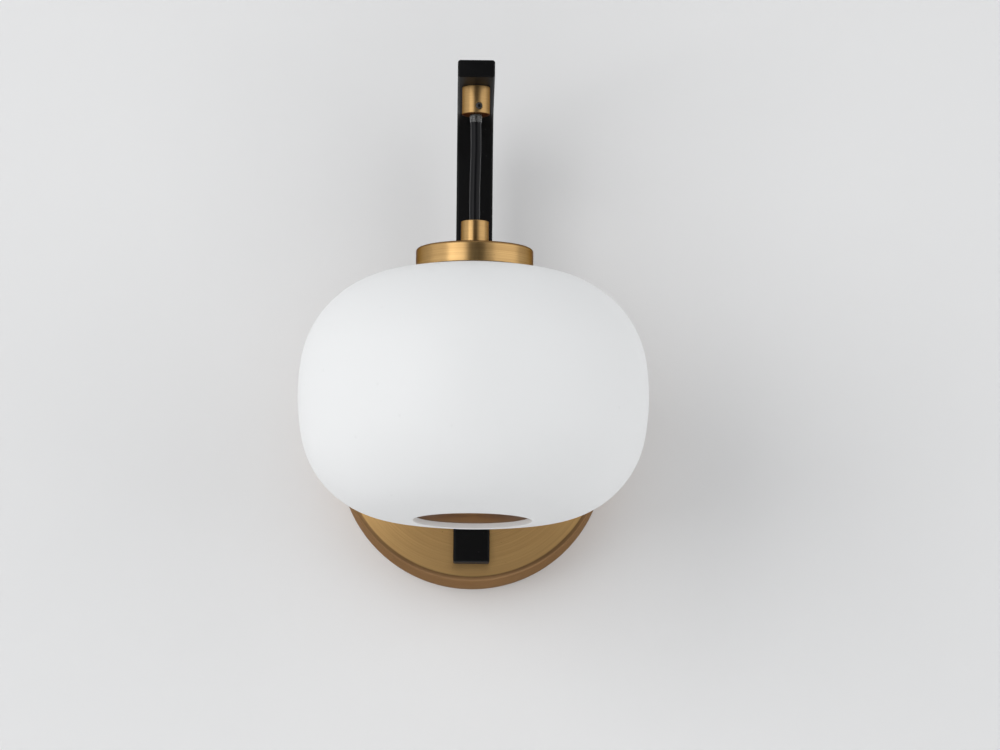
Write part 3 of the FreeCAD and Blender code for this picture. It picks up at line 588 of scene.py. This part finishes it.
def black_coat():
    """Satin black powder coat with a fine orange peel, rubbed edges and a painted highlight on its
    lower end.
    """
    coat = Finish("Black powder coat")
    black = coat.colours.black
    skin = coat.use(fine_skin, Grains=2200.0)
    marks = coat.use(handling, Patches=22.0, Specks=380.0)
    edge = coat.use(worn_edges, Start=0.53, End=0.62)["Edge"]
    base = coat.mix(coat.spread(skin["Cloud"], 0.0, 1.0), black, scaled(black, 1.5))
    rubbed = coat.mix(coat.times(edge, 0.4), base, (0.035, 0.035, 0.037))
    # painted highlight: the bar's lower end is made lighter grey, as if lit from below
    foot = coat.band(coat.height(), ARM[0].z + 0.0008, ARM[0].z + 0.0002)
    lit_foot_end = coat.mix(foot, rubbed, (0.026, 0.026, 0.027))
    dusty = coat.mix(coat.times(marks["Speck"], 0.25), lit_foot_end, (0.10, 0.10, 0.10))
    coat.give(dusty, coat.plus(coat.spread(skin["Pebble"], 0.40, 0.50),
                               coat.spread(marks["Patch"], -0.04, 0.06), clamp=True),
              Specular_IOR_Level=0.08)
    return coat.bump(skin["Pebble"], 0.00004, 0.3)


def opal_glass():
    """Etched opal glass: milk white, matt, a little darker towards its mouth and foot."""
    glass = Finish("Opal glass", LAMP_AXIS)
    opal = glass.colours.opal
    skin = glass.use(fine_skin, Grains=1500.0)
    marks = glass.use(handling, Patches=9.0, Specks=120.0)
    height = glass.height()
    top = glass.band(height, GLOBE[1].z - 0.010, GLOBE[1].z)
    foot = glass.maths("SUBTRACT", 1.0, glass.band(height, GLOBE[0].z, GLOBE[0].z + 0.012))
    darker_ends = glass.times(glass.plus(top, foot, clamp=True), 0.35)
    cloudy = glass.mix(glass.spread(marks["Patch"], 0.0, 0.5), opal, scaled(opal, 0.975))
    base = glass.mix(darker_ends, cloudy, scaled(opal, 0.93))
    seeds = glass.mix(glass.times(marks["Speck"], 0.12), base, (0.60, 0.60, 0.59))
    glass.give(seeds, glass.plus(glass.spread(skin["Pebble"], 0.46, 0.56),
                                 glass.spread(marks["Patch"], -0.03, 0.03)),
               Specular_IOR_Level=0.4)
    return glass.bump(skin["Pebble"], 0.00003, 0.2)


def cord_jacket(name="Cord jacket"):
    """Extruded black jacket with faint lines along it."""
    jacket = Finish(name, LAMP_AXIS)
    black = jacket.colours.jacket
    drawn = jacket.add("Mapping", {"Scale": (1500, 1500, 30), "Vector": jacket.place})
    lines = jacket.noise(drawn.outputs[0], 1.0, 3.0)
    skin = jacket.use(fine_skin, Grains=1800.0)
    jacket.give(jacket.mix(lines, black, scaled(black, 2.2)),
                jacket.spread(skin["Cloud"], 0.24, 0.36), Specular_IOR_Level=0.11)
    return jacket.bump(jacket.plus(lines, jacket.times(skin["Pebble"], 0.5)), 0.00005, 0.35)


def clear_nylon():
    """The collet's clear plastic, slightly cloudy, with fine moulding lines."""
    nylon = Finish("Clear grey nylon", LAMP_AXIS)
    skin = nylon.use(fine_skin, Grains=1600.0)
    lines = nylon.use(turned_grain, Lines=1200.0)
    base = nylon.mix(nylon.spread(skin["Cloud"], 0.0, 0.6), nylon.colours.collet,
                     (0.28, 0.28, 0.27))
    nylon.give(base, nylon.spread(lines["Grain"], 0.14, 0.30), Transmission_Weight=0.75, IOR=1.45)
    return nylon.bump(lines["Grain"], 0.00003, 0.3)


def blackened_steel():
    """Black oxide on screws, worn to grey on its edges."""
    steel = Finish("Blackened steel")
    skin = steel.use(fine_skin, Grains=3200.0)
    edge = steel.use(worn_edges, Start=0.51, End=0.58)["Edge"]
    base = steel.mix(skin["Cloud"], (0.020, 0.020, 0.022), (0.045, 0.043, 0.042))
    steel.give(steel.mix(steel.times(edge, 0.6), base, (0.20, 0.19, 0.18)),
               steel.spread(skin["Pebble"], 0.34, 0.50), Metallic=0.8)
    return steel.bump(skin["Pebble"], 0.00002, 0.3)


def plated_metal(name, light, dark, rough=(0.26, 0.42), lines_round=None):
    """Plated or bare metal with spangle, or with brushed lines where an axis is given."""
    metal = Finish(name, lines_round or (0, 0, 0))
    marks = metal.use(handling, Patches=60.0, Specks=500.0)
    if lines_round:
        grain = metal.use(turned_grain, Lines=1500.0, Reach=9.0)
        tone, height = grain["Streaks"], grain["Grain"]
    else:
        skin = metal.use(fine_skin, Grains=1400.0)
        tone, height = skin["Cloud"], skin["Pebble"]
    base = metal.mix(metal.band(tone, 0.35, 0.65), dark, light)
    stained = metal.mix(metal.spread(marks["Patch"], 0.0, 0.25), base, scaled(dark, 0.7))
    metal.give(metal.mix(metal.times(marks["Speck"], 0.4), stained, scaled(dark, 0.4)),
               metal.spread(marks["Patch"], *rough), Metallic=1.0)
    return metal.bump(height, 0.00003, 0.3)


def moulded(name, light, dark, rough=(0.40, 0.55), grains=1700.0, depth=0.00006):
    """Moulded plastic, rubber or foam with a fine skin and slight colour drift."""
    plastic = Finish(name)
    skin = plastic.use(fine_skin, Grains=grains)
    marks = plastic.use(handling, Patches=40.0, Specks=600.0)
    base = plastic.mix(skin["Cloud"], dark, light)
    plastic.give(plastic.mix(plastic.times(marks["Speck"], 0.3), base, scaled(dark, 0.5)),
                 plastic.spread(skin["Pebble"], *rough))
    return plastic.bump(skin["Pebble"], depth, 0.5)


def paint(name, opening=None):
    """Matt wall paint, clear from behind, and open within a radius of Y where one is given."""
    coat = Finish(name + " paint")
    wall = coat.colours.wall
    roller = coat.use(fine_skin, Grains=420.0)
    coat.give(coat.mix(roller["Cloud"], wall, scaled(wall, 0.985)), 0.8, Specular_IOR_Level=0.2)
    coat.bump(roller["Pebble"], 0.0003, 0.12)
    clear = coat.add("BsdfTransparent").outputs[0]
    unseen = coat.add("NewGeometry").outputs["Backfacing"]
    if opening:
        inside = coat.maths("LESS_THAN", coat.away((1, 0, 1)), opening)
        unseen = coat.maths("MAXIMUM", unseen, inside)
    mixed = coat.add("MixShader", {0: unseen, 1: coat.shader.outputs[0], 2: clear})
    coat.put(coat.output.inputs["Surface"], mixed.outputs[0])
    return coat.made


def black_card():
    """Dull black board, which only shows as the dark band in polished metal."""
    board = Finish("Card")
    weave = board.use(fine_skin, Grains=60.0)["Pebble"]
    board.give(board.mix(weave, (0.03, 0.03, 0.03), (0.05, 0.05, 0.05)), 1.0)
    return board.made


# --- The pieces ---
class Undoable:
    """What the operators share."""

    bl_options = {"REGISTER", "UNDO"}


class SCONCE_OT_stage(Undoable, bpy.types.Operator):
    """Makes the camera, the lamps, the wall and the floor"""

    bl_idname = "sconce.stage"
    bl_label = "Studio and camera"

    def execute(self, context):
        scene = context.scene
        scene.view_settings.view_transform = "Standard"
        camera = bpy.data.cameras.new("Camera")
        camera.sensor_width = 36
        camera.lens = LENS
        camera.clip_end = 60
        scene.camera = hold("Camera", camera)
        turned_to = Matrix.Identity(3)
        for degrees, axis in CAMERA_TURNS:
            turned_to @= Matrix.Rotation(math.radians(degrees), 3, axis)
        scene.camera.matrix_world = Matrix.Translation(CAMERA_PLACE) @ turned_to.to_4x4()
        for name, place, width, height, power in LAMPS:
            lamp = bpy.data.lights.new(name, "AREA")
            lamp.shape = "RECTANGLE"
            lamp.size, lamp.size_y = width, height
            lamp.energy = power
            stand = hold(name, lamp)
            stand.location = place
            look = LAMPS_LOOK_AT - Vector(place)
            stand.rotation_euler = look.to_track_quat("-Z", "Y").to_euler()
        self.sky(scene)
        for name, side, place, turn_by in SHEETS:
            sheet = primitive(name, "plane", size=side, location=place,
                              rotation=(math.radians(turn_by), 0, 0))
            sheet.data.materials.append(paint(name, BOX_OPENING if name == "Wall" else None))
        card = primitive("Dark card", "plane", CARD_STRETCH, size=CARD_SIDE,
                         location=CARD_PLACE, rotation=(QUARTER, 0, 0))
        card.data.materials.append(black_card())
        card.visible_camera = False
        return {"FINISHED"}

    def sky(self, scene):
        """A dim room for the light, and a pale backdrop past the stage, in metal and glass too."""
        scene.world = scene.world or bpy.data.worlds.new("Room")
        scene.world.use_nodes = True
        nodes = Nodes(scene.world.node_tree)
        nodes.tree.nodes.clear()
        path = nodes.add("LightPath").outputs
        seen = nodes.maths("MAXIMUM", path["Is Camera Ray"], nodes.maths(
            "MAXIMUM", path["Is Glossy Ray"], path["Is Transmission Ray"]))
        room = nodes.add("Background", {"Color": (0.81, 0.82, 0.835), "Strength": 0.80})
        pale = nodes.add("Background", {"Color": (0.72, 0.72, 0.72), "Strength": 1.0})
        mixed = nodes.add("MixShader", {0: seen, 1: room.outputs[0], 2: pale.outputs[0]})
        nodes.add("OutputWorld", {"Surface": mixed.outputs[0]})


class SCONCE_OT_cord(Undoable, bpy.types.Operator):
    """Makes the short black cord between the two fittings"""

    bl_idname = "sconce.cord"
    bl_label = "Cord"

    def execute(self, context):
        sizes = context.scene.sconce_sizes
        y = LAMP_AXIS.y
        top = COLLET[0].z
        foot = top - sizes.cord_length
        route = ((0.0, top), (0.0002, top - 0.008), (0.0002, top - 0.020),
                 (-0.0002, top - 0.034), (-0.0003, top - 0.048), (-0.0002, foot))
        curve = bpy.data.curves.new("cord_route", "CURVE")
        curve.dimensions = "3D"
        line = curve.splines.new("NURBS")
        line.points.add(len(route) - 1)
        for point, (x, z) in zip(line.points, route):
            point.co = (x, y, z, 1)
        line.order_u = 3
        line.use_endpoint_u = True
        line.resolution_u = 20
        guide = hold("cord_route", curve)
        context.view_layer.update()
        path = [tuple(v.co) for v in bpy.data.meshes.new_from_object(guide).vertices]
        curve.bevel_depth = sizes.cord_diameter / 2
        curve.bevel_resolution = 12
        curve.use_fill_caps = True
        context.view_layer.update()
        tube = bpy.data.meshes.new_from_object(guide)
        bpy.data.objects.remove(guide)
        cord = hold("cord_free", tube)
        edit(cord)
        mend()
        done()
        smooth(cord)
        tube.materials.clear()
        tube.materials.append(cord_jacket())
        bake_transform(cord)
        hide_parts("cord")
        return {"FINISHED"}


class SCONCE_OT_canopy(Undoable, bpy.types.Operator):
    """Makes the spun brass canopy on the wall"""

    bl_idname = "sconce.canopy"
    bl_label = "Canopy"

    def execute(self, context):
        sizes = context.scene.sconce_sizes
        radius = CANOPY[1].x
        depth = CANOPY[1].y - CANOPY[0].y
        edge = sizes.canopy_edge
        inner = radius - sizes.canopy_wall
        canopy = turned("canopy_shell", [
            (0, depth), (radius * 0.5, depth), (radius - edge, depth),
            (radius - edge, depth - edge, -QUARTER, 10),
            (radius, BURR), (radius - BURR, 0), (inner + BURR, 0), (inner, BURR),
            (inner, depth - edge), (radius - edge, depth - edge, QUARTER, 8),
            (0, depth - sizes.canopy_wall),
        ], 256)
        aim(canopy, (0, 0, 0), ROOM)
        # the canopy's rim gets painted shade and a painted dark reflection from its set radius
        # outwards
        brass = brushed_brass("Brass, canopy", (0, 0, 0), (-QUARTER, 0, 0), "Y", RIM_SHADE_FROM,
                              (0.38, 0.48), 1.12, shade=0.55)
        finish(canopy, brass, "wall_side", "canopy")
        return {"FINISHED"}


class SCONCE_OT_side_screws(Undoable, bpy.types.Operator):
    """Makes the two domed slotted screws at the canopy's sides"""

    bl_idname = "sconce.side_screws"
    bl_label = "Canopy side screws"

    def execute(self, context):
        low, high = SIDE_SCREWS
        shank, under, lip = SIDE_SHANK, -SIDE_SHANK_LENGTH, 0.0002
        head_radius = (high.z - low.z) / 2
        head_height = high.x - CANOPY[1].x - 0.00005
        middle_y = (low.y + high.y) / 2
        rise = head_height - lip
        dome = (head_radius ** 2 + rise ** 2) / (2 * rise)
        lip_angle = math.atan2(lip - (head_height - dome), head_radius)
        screw = turned("side_screw", [
            (0, under), (shank, under), (shank, 0), (head_radius - lip, 0), (head_radius, lip),
            (0, head_height - dome, (QUARTER - lip_angle) * 0.94, 12), (0, head_height),
        ], 64)
        slot = primitive("slot", "cube", (head_radius * 3, SIDE_SLOT, 0.0030),
                         size=1, location=(0, 0, head_height + 0.0002))
        carve(screw, slot)
        soften(screw, 0.00012, 40)
        brass = brushed_brass("Brass, side screws", (0, middle_y, 0), (0, QUARTER, 0), "X")
        for side, name in ((-1, "side_screw_left"), (1, "side_screw_right")):
            copy = hold(name, screw.data.copy())
            aim(copy, (side * (CANOPY[1].x + 0.00002), middle_y, 0), (side, 0, 0))
            finish(copy, brass, "wall_side", "canopy_side_screws")
        bpy.data.objects.remove(screw)
        return {"FINISHED"}


class SCONCE_OT_arm(Undoable, bpy.types.Operator):
    """Makes the black bar that rises from the canopy and hooks forward"""

    bl_idname = "sconce.arm"
    bl_label = "Bar"

    def execute(self, context):
        sizes = context.scene.sconce_sizes
        low, high = ARM
        thickness = sizes.arm_thickness
        bend = sizes.arm_bend + thickness / 2
        middle_y = high.y - thickness / 2
        middle_z = high.z - thickness / 2
        arm = primitive("arm_bar", "plane", (high.x - low.x, thickness, 1), size=1,
                        location=(0, middle_y, low.z))
        edit(arm)
        bpy.ops.mesh.bevel(offset=sizes.arm_corner, segments=6, affect="VERTICES")
        bpy.ops.mesh.select_mode(type="FACE")
        everything()
        extrude_by((0, 0, middle_z - bend - low.z))
        spin(28, QUARTER, (0, middle_y - bend, middle_z - bend), (-1, 0, 0))
        extrude_by((0, low.y - (middle_y - bend), 0))
        mend()
        for axis, end in ((2, low.z), (1, low.y)):
            pick_faces(arm, lambda face: face.normal[axis] < -0.99
                       and face.center[axis] < end + 1e-4)
            bpy.ops.mesh.bevel(offset=sizes.arm_end, segments=4, affect="EDGES")
        done()
        finish(arm, black_coat(), "wall_side", "arm")
        return {"FINISHED"}


class SCONCE_OT_fittings(Undoable, bpy.types.Operator):
    """Makes the two brass cord fittings, bored and drilled for their set screws"""

    bl_idname = "sconce.fittings"
    bl_label = "Cord fittings"

    def execute(self, context):
        sizes = context.scene.sconce_sizes
        # the grip gets painted shade on its underside
        brass = {"grip_barrel": brushed_brass("Brass, grip", LAMP_AXIS, rough=(0.38, 0.47),
                                              level=0.80, under=GRIP[0].z),
                 "stem_barrel": brushed_brass("Brass, stem", LAMP_AXIS, level=0.80)}
        for name, node, box, bore, way, angle, body in (
                ("grip_barrel", "cord_grip", GRIP, GRIP_BORE, -1,
                 sizes.upper_screw_angle, "wall_side"),
                ("stem_barrel", "cord_stem", STEM, STEM_BORE, 1,
                 sizes.lower_screw_angle, "shade")):
            radius, height = spans(box)
            edge = sizes.fitting_edge
            rim, floor = radius - edge, height - BORE_DEPTH
            barrel = turned(name, [
                (0, floor), (bore, floor), (bore, height - BURR), (bore + BURR, height),
                (rim, height), (rim, height - edge, -QUARTER, 5), (radius, height * 0.5),
                (radius, edge), (rim, edge, -QUARTER, 5), (0, 0),
            ], 144)
            seat, mouth = (box[0], box[1]) if way > 0 else (box[1], box[0])
            aim(barrel, (0, LAMP_AXIS.y, seat.z), (0, 0, way))
            thread, relief = SCREW_RADIUS + 0.00005, SCREW_RADIUS + 0.00055
            inmost, beyond = 0.0042, radius + 0.002
            hole = turned("hole", [
                (0, inmost), (thread, inmost), (thread, radius - 0.0005), (relief, radius),
                (relief, beyond), (0, beyond),
            ], 48)
            aim(hole, (0, LAMP_AXIS.y, mouth.z - way * SCREW_RISE), looks(angle))
            carve(barrel, hole)
            finish(barrel, brass[name], body, node)
        return {"FINISHED"}


class SCONCE_OT_set_screws(Undoable, bpy.types.Operator):
    """Makes the two black set screws with their hexagon sockets"""

    bl_idname = "sconce.set_screws"
    bl_label = "Set screws"

    def execute(self, context):
        sizes = context.scene.sconce_sizes
        steel = blackened_steel()
        radius, length = SCREW_RADIUS, SCREW_LENGTH
        for name, node, box, angle, body in (
                ("grip_screw", "grip_set_screw", GRIP_SCREW, sizes.upper_screw_angle, "wall_side"),
                ("stem_screw", "stem_set_screw", STEM_SCREW, sizes.lower_screw_angle, "shade")):
            screw = turned(name, [
                (0, 0), (radius - 0.0002, 0), (radius, 0.0002), (radius, length - BURR),
                (radius - BURR, length), (0, length),
            ], 48)
            socket = primitive("socket", "cylinder", vertices=6, radius=SOCKET_RADIUS,
                               depth=2 * SOCKET_DEPTH, location=(0, 0, length))
            carve(screw, socket)
            soften(screw, 0.00008, 50)
            middle = Vector((0, LAMP_AXIS.y, (box[0].z + box[1].z) / 2))
            reach = spans(GRIP)[0] - SCREW_RECESS - length
            aim(screw, middle + looks(angle) * reach, looks(angle))
            finish(screw, steel, body, node)
        return {"FINISHED"}


class SCONCE_OT_collet(Undoable, bpy.types.Operator):
    """Makes the clear sleeve that grips the cord under the upper fitting"""

    bl_idname = "sconce.collet"
    bl_label = "Collet"

    def execute(self, context):
        radius, height = spans(COLLET)
        bore, edge, narrow = COLLET_BORE, 0.0002, radius * 0.955
        sleeve = turned("collet_sleeve", [
            (bore, edge), (bore + 0.0001, 0), (narrow - edge, 0), (narrow, edge),
            (radius, COLLET_TAPER), (radius, height - edge), (radius - edge, height),
            (bore, height), (bore, edge),
        ], 96)
        aim(sleeve, (0, LAMP_AXIS.y, COLLET[0].z), UP)
        finish(sleeve, clear_nylon(), "wall_side", "cord_collet")
        return {"FINISHED"}


class SCONCE_OT_cap(Undoable, bpy.types.Operator):
    """Makes the brass cap on the globe"""

    bl_idname = "sconce.cap"
    bl_label = "Cap"

    def execute(self, context):
        sizes = context.scene.sconce_sizes
        radius, height = spans(CAP)
        edge, hole, flat = sizes.cap_edge, NIPPLE_HOLE, 0.0002
        inner, under = radius - sizes.cap_wall, height - sizes.cap_wall
        cap = turned("cap_cup", [
            (hole, height), (radius - edge, height), (radius - edge, height - edge, -QUARTER, 8),
            (radius, flat), (radius - flat, 0), (inner + flat, 0), (inner, flat),
            (inner, under), (hole, under), (hole, height),
        ], 192)
        aim(cap, (0, LAMP_AXIS.y, CAP[0].z), UP)
        # the cap gets a painted dark reflection line round its top edge
        cup = brushed_brass("Brass, cap", LAMP_AXIS, level=0.86, top=CAP[1].z)
        finish(cap, cup, "shade", "cap")
        return {"FINISHED"}


class HalfOutline:
    """Three arcs that run into one another, from the globe's widest line to one of its ends."""

    def __init__(self, wide, side, side_angle, bend, bend_angle, end, upward):
        both = side_angle + bend_angle
        first = Vector((wide - side, 0))
        second = first + (side - bend) * Vector((math.cos(side_angle), math.sin(side_angle)))
        third = second - (end - bend) * Vector((math.cos(both), math.sin(both)))
        self.centres = first, second, third
        self.sweeps = side_angle, bend_angle
        self.end, self.upward = end, upward

    def arcs(self, reach, steps, wall=0):
        """The arcs' moves, to or from a distance from the axis. With a wall they lie inside it,
        and run the other way."""
        sweeps = (*self.sweeps, self.angle_at(reach, wall) - sum(self.sweeps))
        return [(centre.x, centre.y * self.upward, sweep if wall else -sweep, count)
                for centre, sweep, count in zip(self.centres, sweeps, steps)]

    def angle_at(self, reach, wall=0):
        """The angle on the last arc at a distance from the axis."""
        return math.acos((reach - self.centres[2].x) / (self.end - wall))

    def rise_at(self, reach, wall=0):
        """The height of the last arc over the widest line at a distance from the axis."""
        return self.centres[2].y + (self.end - wall) * math.sin(self.angle_at(reach, wall))

    def reach_at(self, rise, wall):
        """How far from the axis the last arc reaches a height."""
        last = self.centres[2]
        return last.x + math.sqrt((self.end - wall) ** 2 - (rise - last.y) ** 2)


class SCONCE_OT_globe(Undoable, bpy.types.Operator):
    """Makes the opal glass globe with its stepped foot"""

    bl_idname = "sconce.globe"
    bl_label = "Globe"

    def execute(self, context):
        sizes = context.scene.sconce_sizes
        wide = spans(GLOBE)[0]
        upper = HalfOutline(wide, sizes.upper_side_radius, sizes.upper_side_angle,
                            sizes.shoulder_radius, sizes.shoulder_angle, sizes.crown_radius, 1)
        lower = HalfOutline(wide, sizes.lower_side_radius, sizes.lower_side_angle,
                            sizes.belly_radius, sizes.belly_angle, sizes.floor_radius, -1)
        wall, mouth = sizes.glass_wall, sizes.glass_mouth
        land, foot = sizes.glass_land, sizes.glass_foot
        top = upper.rise_at(land)
        low = -lower.rise_at(foot)
        seat = low + GLASS_RECESS
        recess = DISC[1].x + 0.0003
        floor_edge = lower.reach_at(-(seat + wall), wall)
        globe = turned("globe_glass", [
            (mouth, upper.rise_at(mouth, wall)), (mouth, top - 0.0004), (mouth + 0.0004, top),
            (land, top), *reversed(upper.arcs(land, (5, 30, 8))),
            *lower.arcs(foot, (6, 30, 8)),
            (foot - BURR, low), (recess + 0.0009, low), (recess + BURR, low + BURR),
            (recess, low + 0.0012), (recess, seat), (mouth, seat), (mouth, seat + wall),
            (floor_edge, seat + wall),
            *reversed(lower.arcs(floor_edge, (4, 20, 6), wall)),
            *upper.arcs(mouth, (4, 20, 6), wall),
        ], 224)
        aim(globe, (0, LAMP_AXIS.y, GLOBE[1].z - top), UP)
        finish(globe, opal_glass(), "shade", "glass_globe")
        return {"FINISHED"}


class SCONCE_OT_disc(Undoable, bpy.types.Operator):
    """Makes the brass disc in the globe's foot"""

    bl_idname = "sconce.disc"
    bl_label = "Foot disc"

    def execute(self, context):
        radius, height = spans(DISC)
        back, boss, hole, edge = DISC_THICKNESS, DISC_BOSS, NIPPLE_HOLE, 0.0004
        bottom = height - ROD_DEPTH
        disc = turned("foot_disc", [
            (0, 0), (radius * 0.5, 0), (radius - edge, 0), (radius - edge, edge, QUARTER, 5),
            (radius, back - 0.0002), (radius - 0.0002, back), (boss, back),
            (boss, height - BURR), (boss - BURR, height), (hole, height),
            (hole, bottom), (0, bottom),
        ], 192)
        aim(disc, (0, LAMP_AXIS.y, DISC[0].z), UP)
        # the whole disc gets painted shade and a painted dark reflection, from radius 0 outwards
        shaded_disc_brass = brushed_brass("Brass, disc", LAMP_AXIS, level=1.14, painted_shade_from=0.0)
        finish(disc, shaded_disc_brass, "shade", "bottom_disc")
        return {"FINISHED"}


class SCONCE_OT_inner_parts(Undoable, bpy.types.Operator):
    """Gives the parts inside the canopy, bar and globe their finishes"""

    bl_idname = "sconce.inner_parts"
    bl_label = "Inner parts"

    def execute(self, context):
        zinc = context.scene.sconce_colours.zinc
        finishes = (
            (plated_metal("Zinc plate", zinc, scaled(zinc, 0.72)),
             "wall_bracket", "arm_backing_plate", "arm_screws", "arm_weld_nuts", "arm_nipple",
             "arm_locknut", "cap_nipple", "led_board_screws", "centre_rod"),
            (plated_metal("Turned aluminium", (0.72, 0.73, 0.74), (0.58, 0.59, 0.60),
                          (0.22, 0.36), tuple(LAMP_AXIS)), "heat_sink"),
            (plated_metal("Green zinc", (0.10, 0.34, 0.15), (0.04, 0.20, 0.07)), "ground_screw"),
            (moulded("White plastic", (0.80, 0.80, 0.78), (0.74, 0.74, 0.72)), "led_driver"),
            (moulded("Orange plastic", (0.72, 0.27, 0.05), (0.60, 0.20, 0.03), (0.25, 0.38)),
             "driver_terminals"),
            (moulded("Black nylon", (0.022, 0.022, 0.022), (0.014, 0.014, 0.014)),
             "wire_bushing"),
            (moulded("Foam tape", (0.72, 0.72, 0.70), (0.60, 0.60, 0.58), (0.8, 0.95),
                     900.0, 0.0002), "driver_tape"),
            (moulded("Board", (0.82, 0.83, 0.82), (0.74, 0.75, 0.74), (0.30, 0.42), 700.0),
             "led_board"),
            (moulded("Phosphor", (0.85, 0.62, 0.10), (0.72, 0.50, 0.07), (0.35, 0.5), 3000.0),
             "led_chips"),
            (moulded("Silicone", (0.70, 0.71, 0.70), (0.62, 0.63, 0.62), (0.45, 0.6), 1200.0),
             "top_gasket", "bottom_gasket"),
            (cord_jacket("Cord jacket, held ends"), "cord_upper_end", "cord_lower_end"),
        )
        bare = {name for name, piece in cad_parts.items() if not piece.hide_render}
        for made, *names in finishes:
            for name in names:
                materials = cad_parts[name].data.materials
                materials.clear()
                materials.append(made)
            bare.difference_update(names)
        if bare:
            raise RuntimeError(f"no finish for {sorted(bare)}")
        return {"FINISHED"}


class SCONCE_PT_panel(bpy.types.Panel):
    """Lists the pieces and their sizes in the sidebar"""

    bl_label = "Hanging globe sconce"
    bl_idname = "SCONCE_PT_panel"
    bl_space_type = "VIEW_3D"
    bl_region_type = "UI"
    bl_category = "Sconce"

    def draw(self, context):
        column = self.layout.column(align=True)
        for operator in OPERATORS:
            column.operator(operator.bl_idname)
        for label, values in (("Sizes", context.scene.sconce_sizes),
                              ("Colours", context.scene.sconce_colours)):
            box = self.layout.box()
            box.label(text=label)
            for name in values.__annotations__:
                box.prop(values, name)


OPERATORS = (
    SCONCE_OT_stage, SCONCE_OT_cord, SCONCE_OT_canopy, SCONCE_OT_side_screws, SCONCE_OT_arm,
    SCONCE_OT_fittings, SCONCE_OT_set_screws, SCONCE_OT_collet, SCONCE_OT_cap,
    SCONCE_OT_globe, SCONCE_OT_disc, SCONCE_OT_inner_parts,
)
CLASSES = (SconceSizes, SconceColours, *OPERATORS, SCONCE_PT_panel)


def register():
    """Makes the classes and their settings known to Blender."""
    for item in CLASSES:
        bpy.utils.register_class(item)
    bpy.types.Scene.sconce_sizes = bpy.props.PointerProperty(type=SconceSizes)
    bpy.types.Scene.sconce_colours = bpy.props.PointerProperty(type=SconceColours)


def unregister():
    """Takes them away again."""
    del bpy.types.Scene.sconce_colours
    del bpy.types.Scene.sconce_sizes
    for item in reversed(CLASSES):
        bpy.utils.unregister_class(item)


def main():
    """Builds the sconce and its studio."""
    register()
    for operator in OPERATORS:
        module, name = operator.bl_idname.split(".")
        getattr(getattr(bpy.ops, module), name)()
    deselect()


if __name__ == "__main__":
    main()
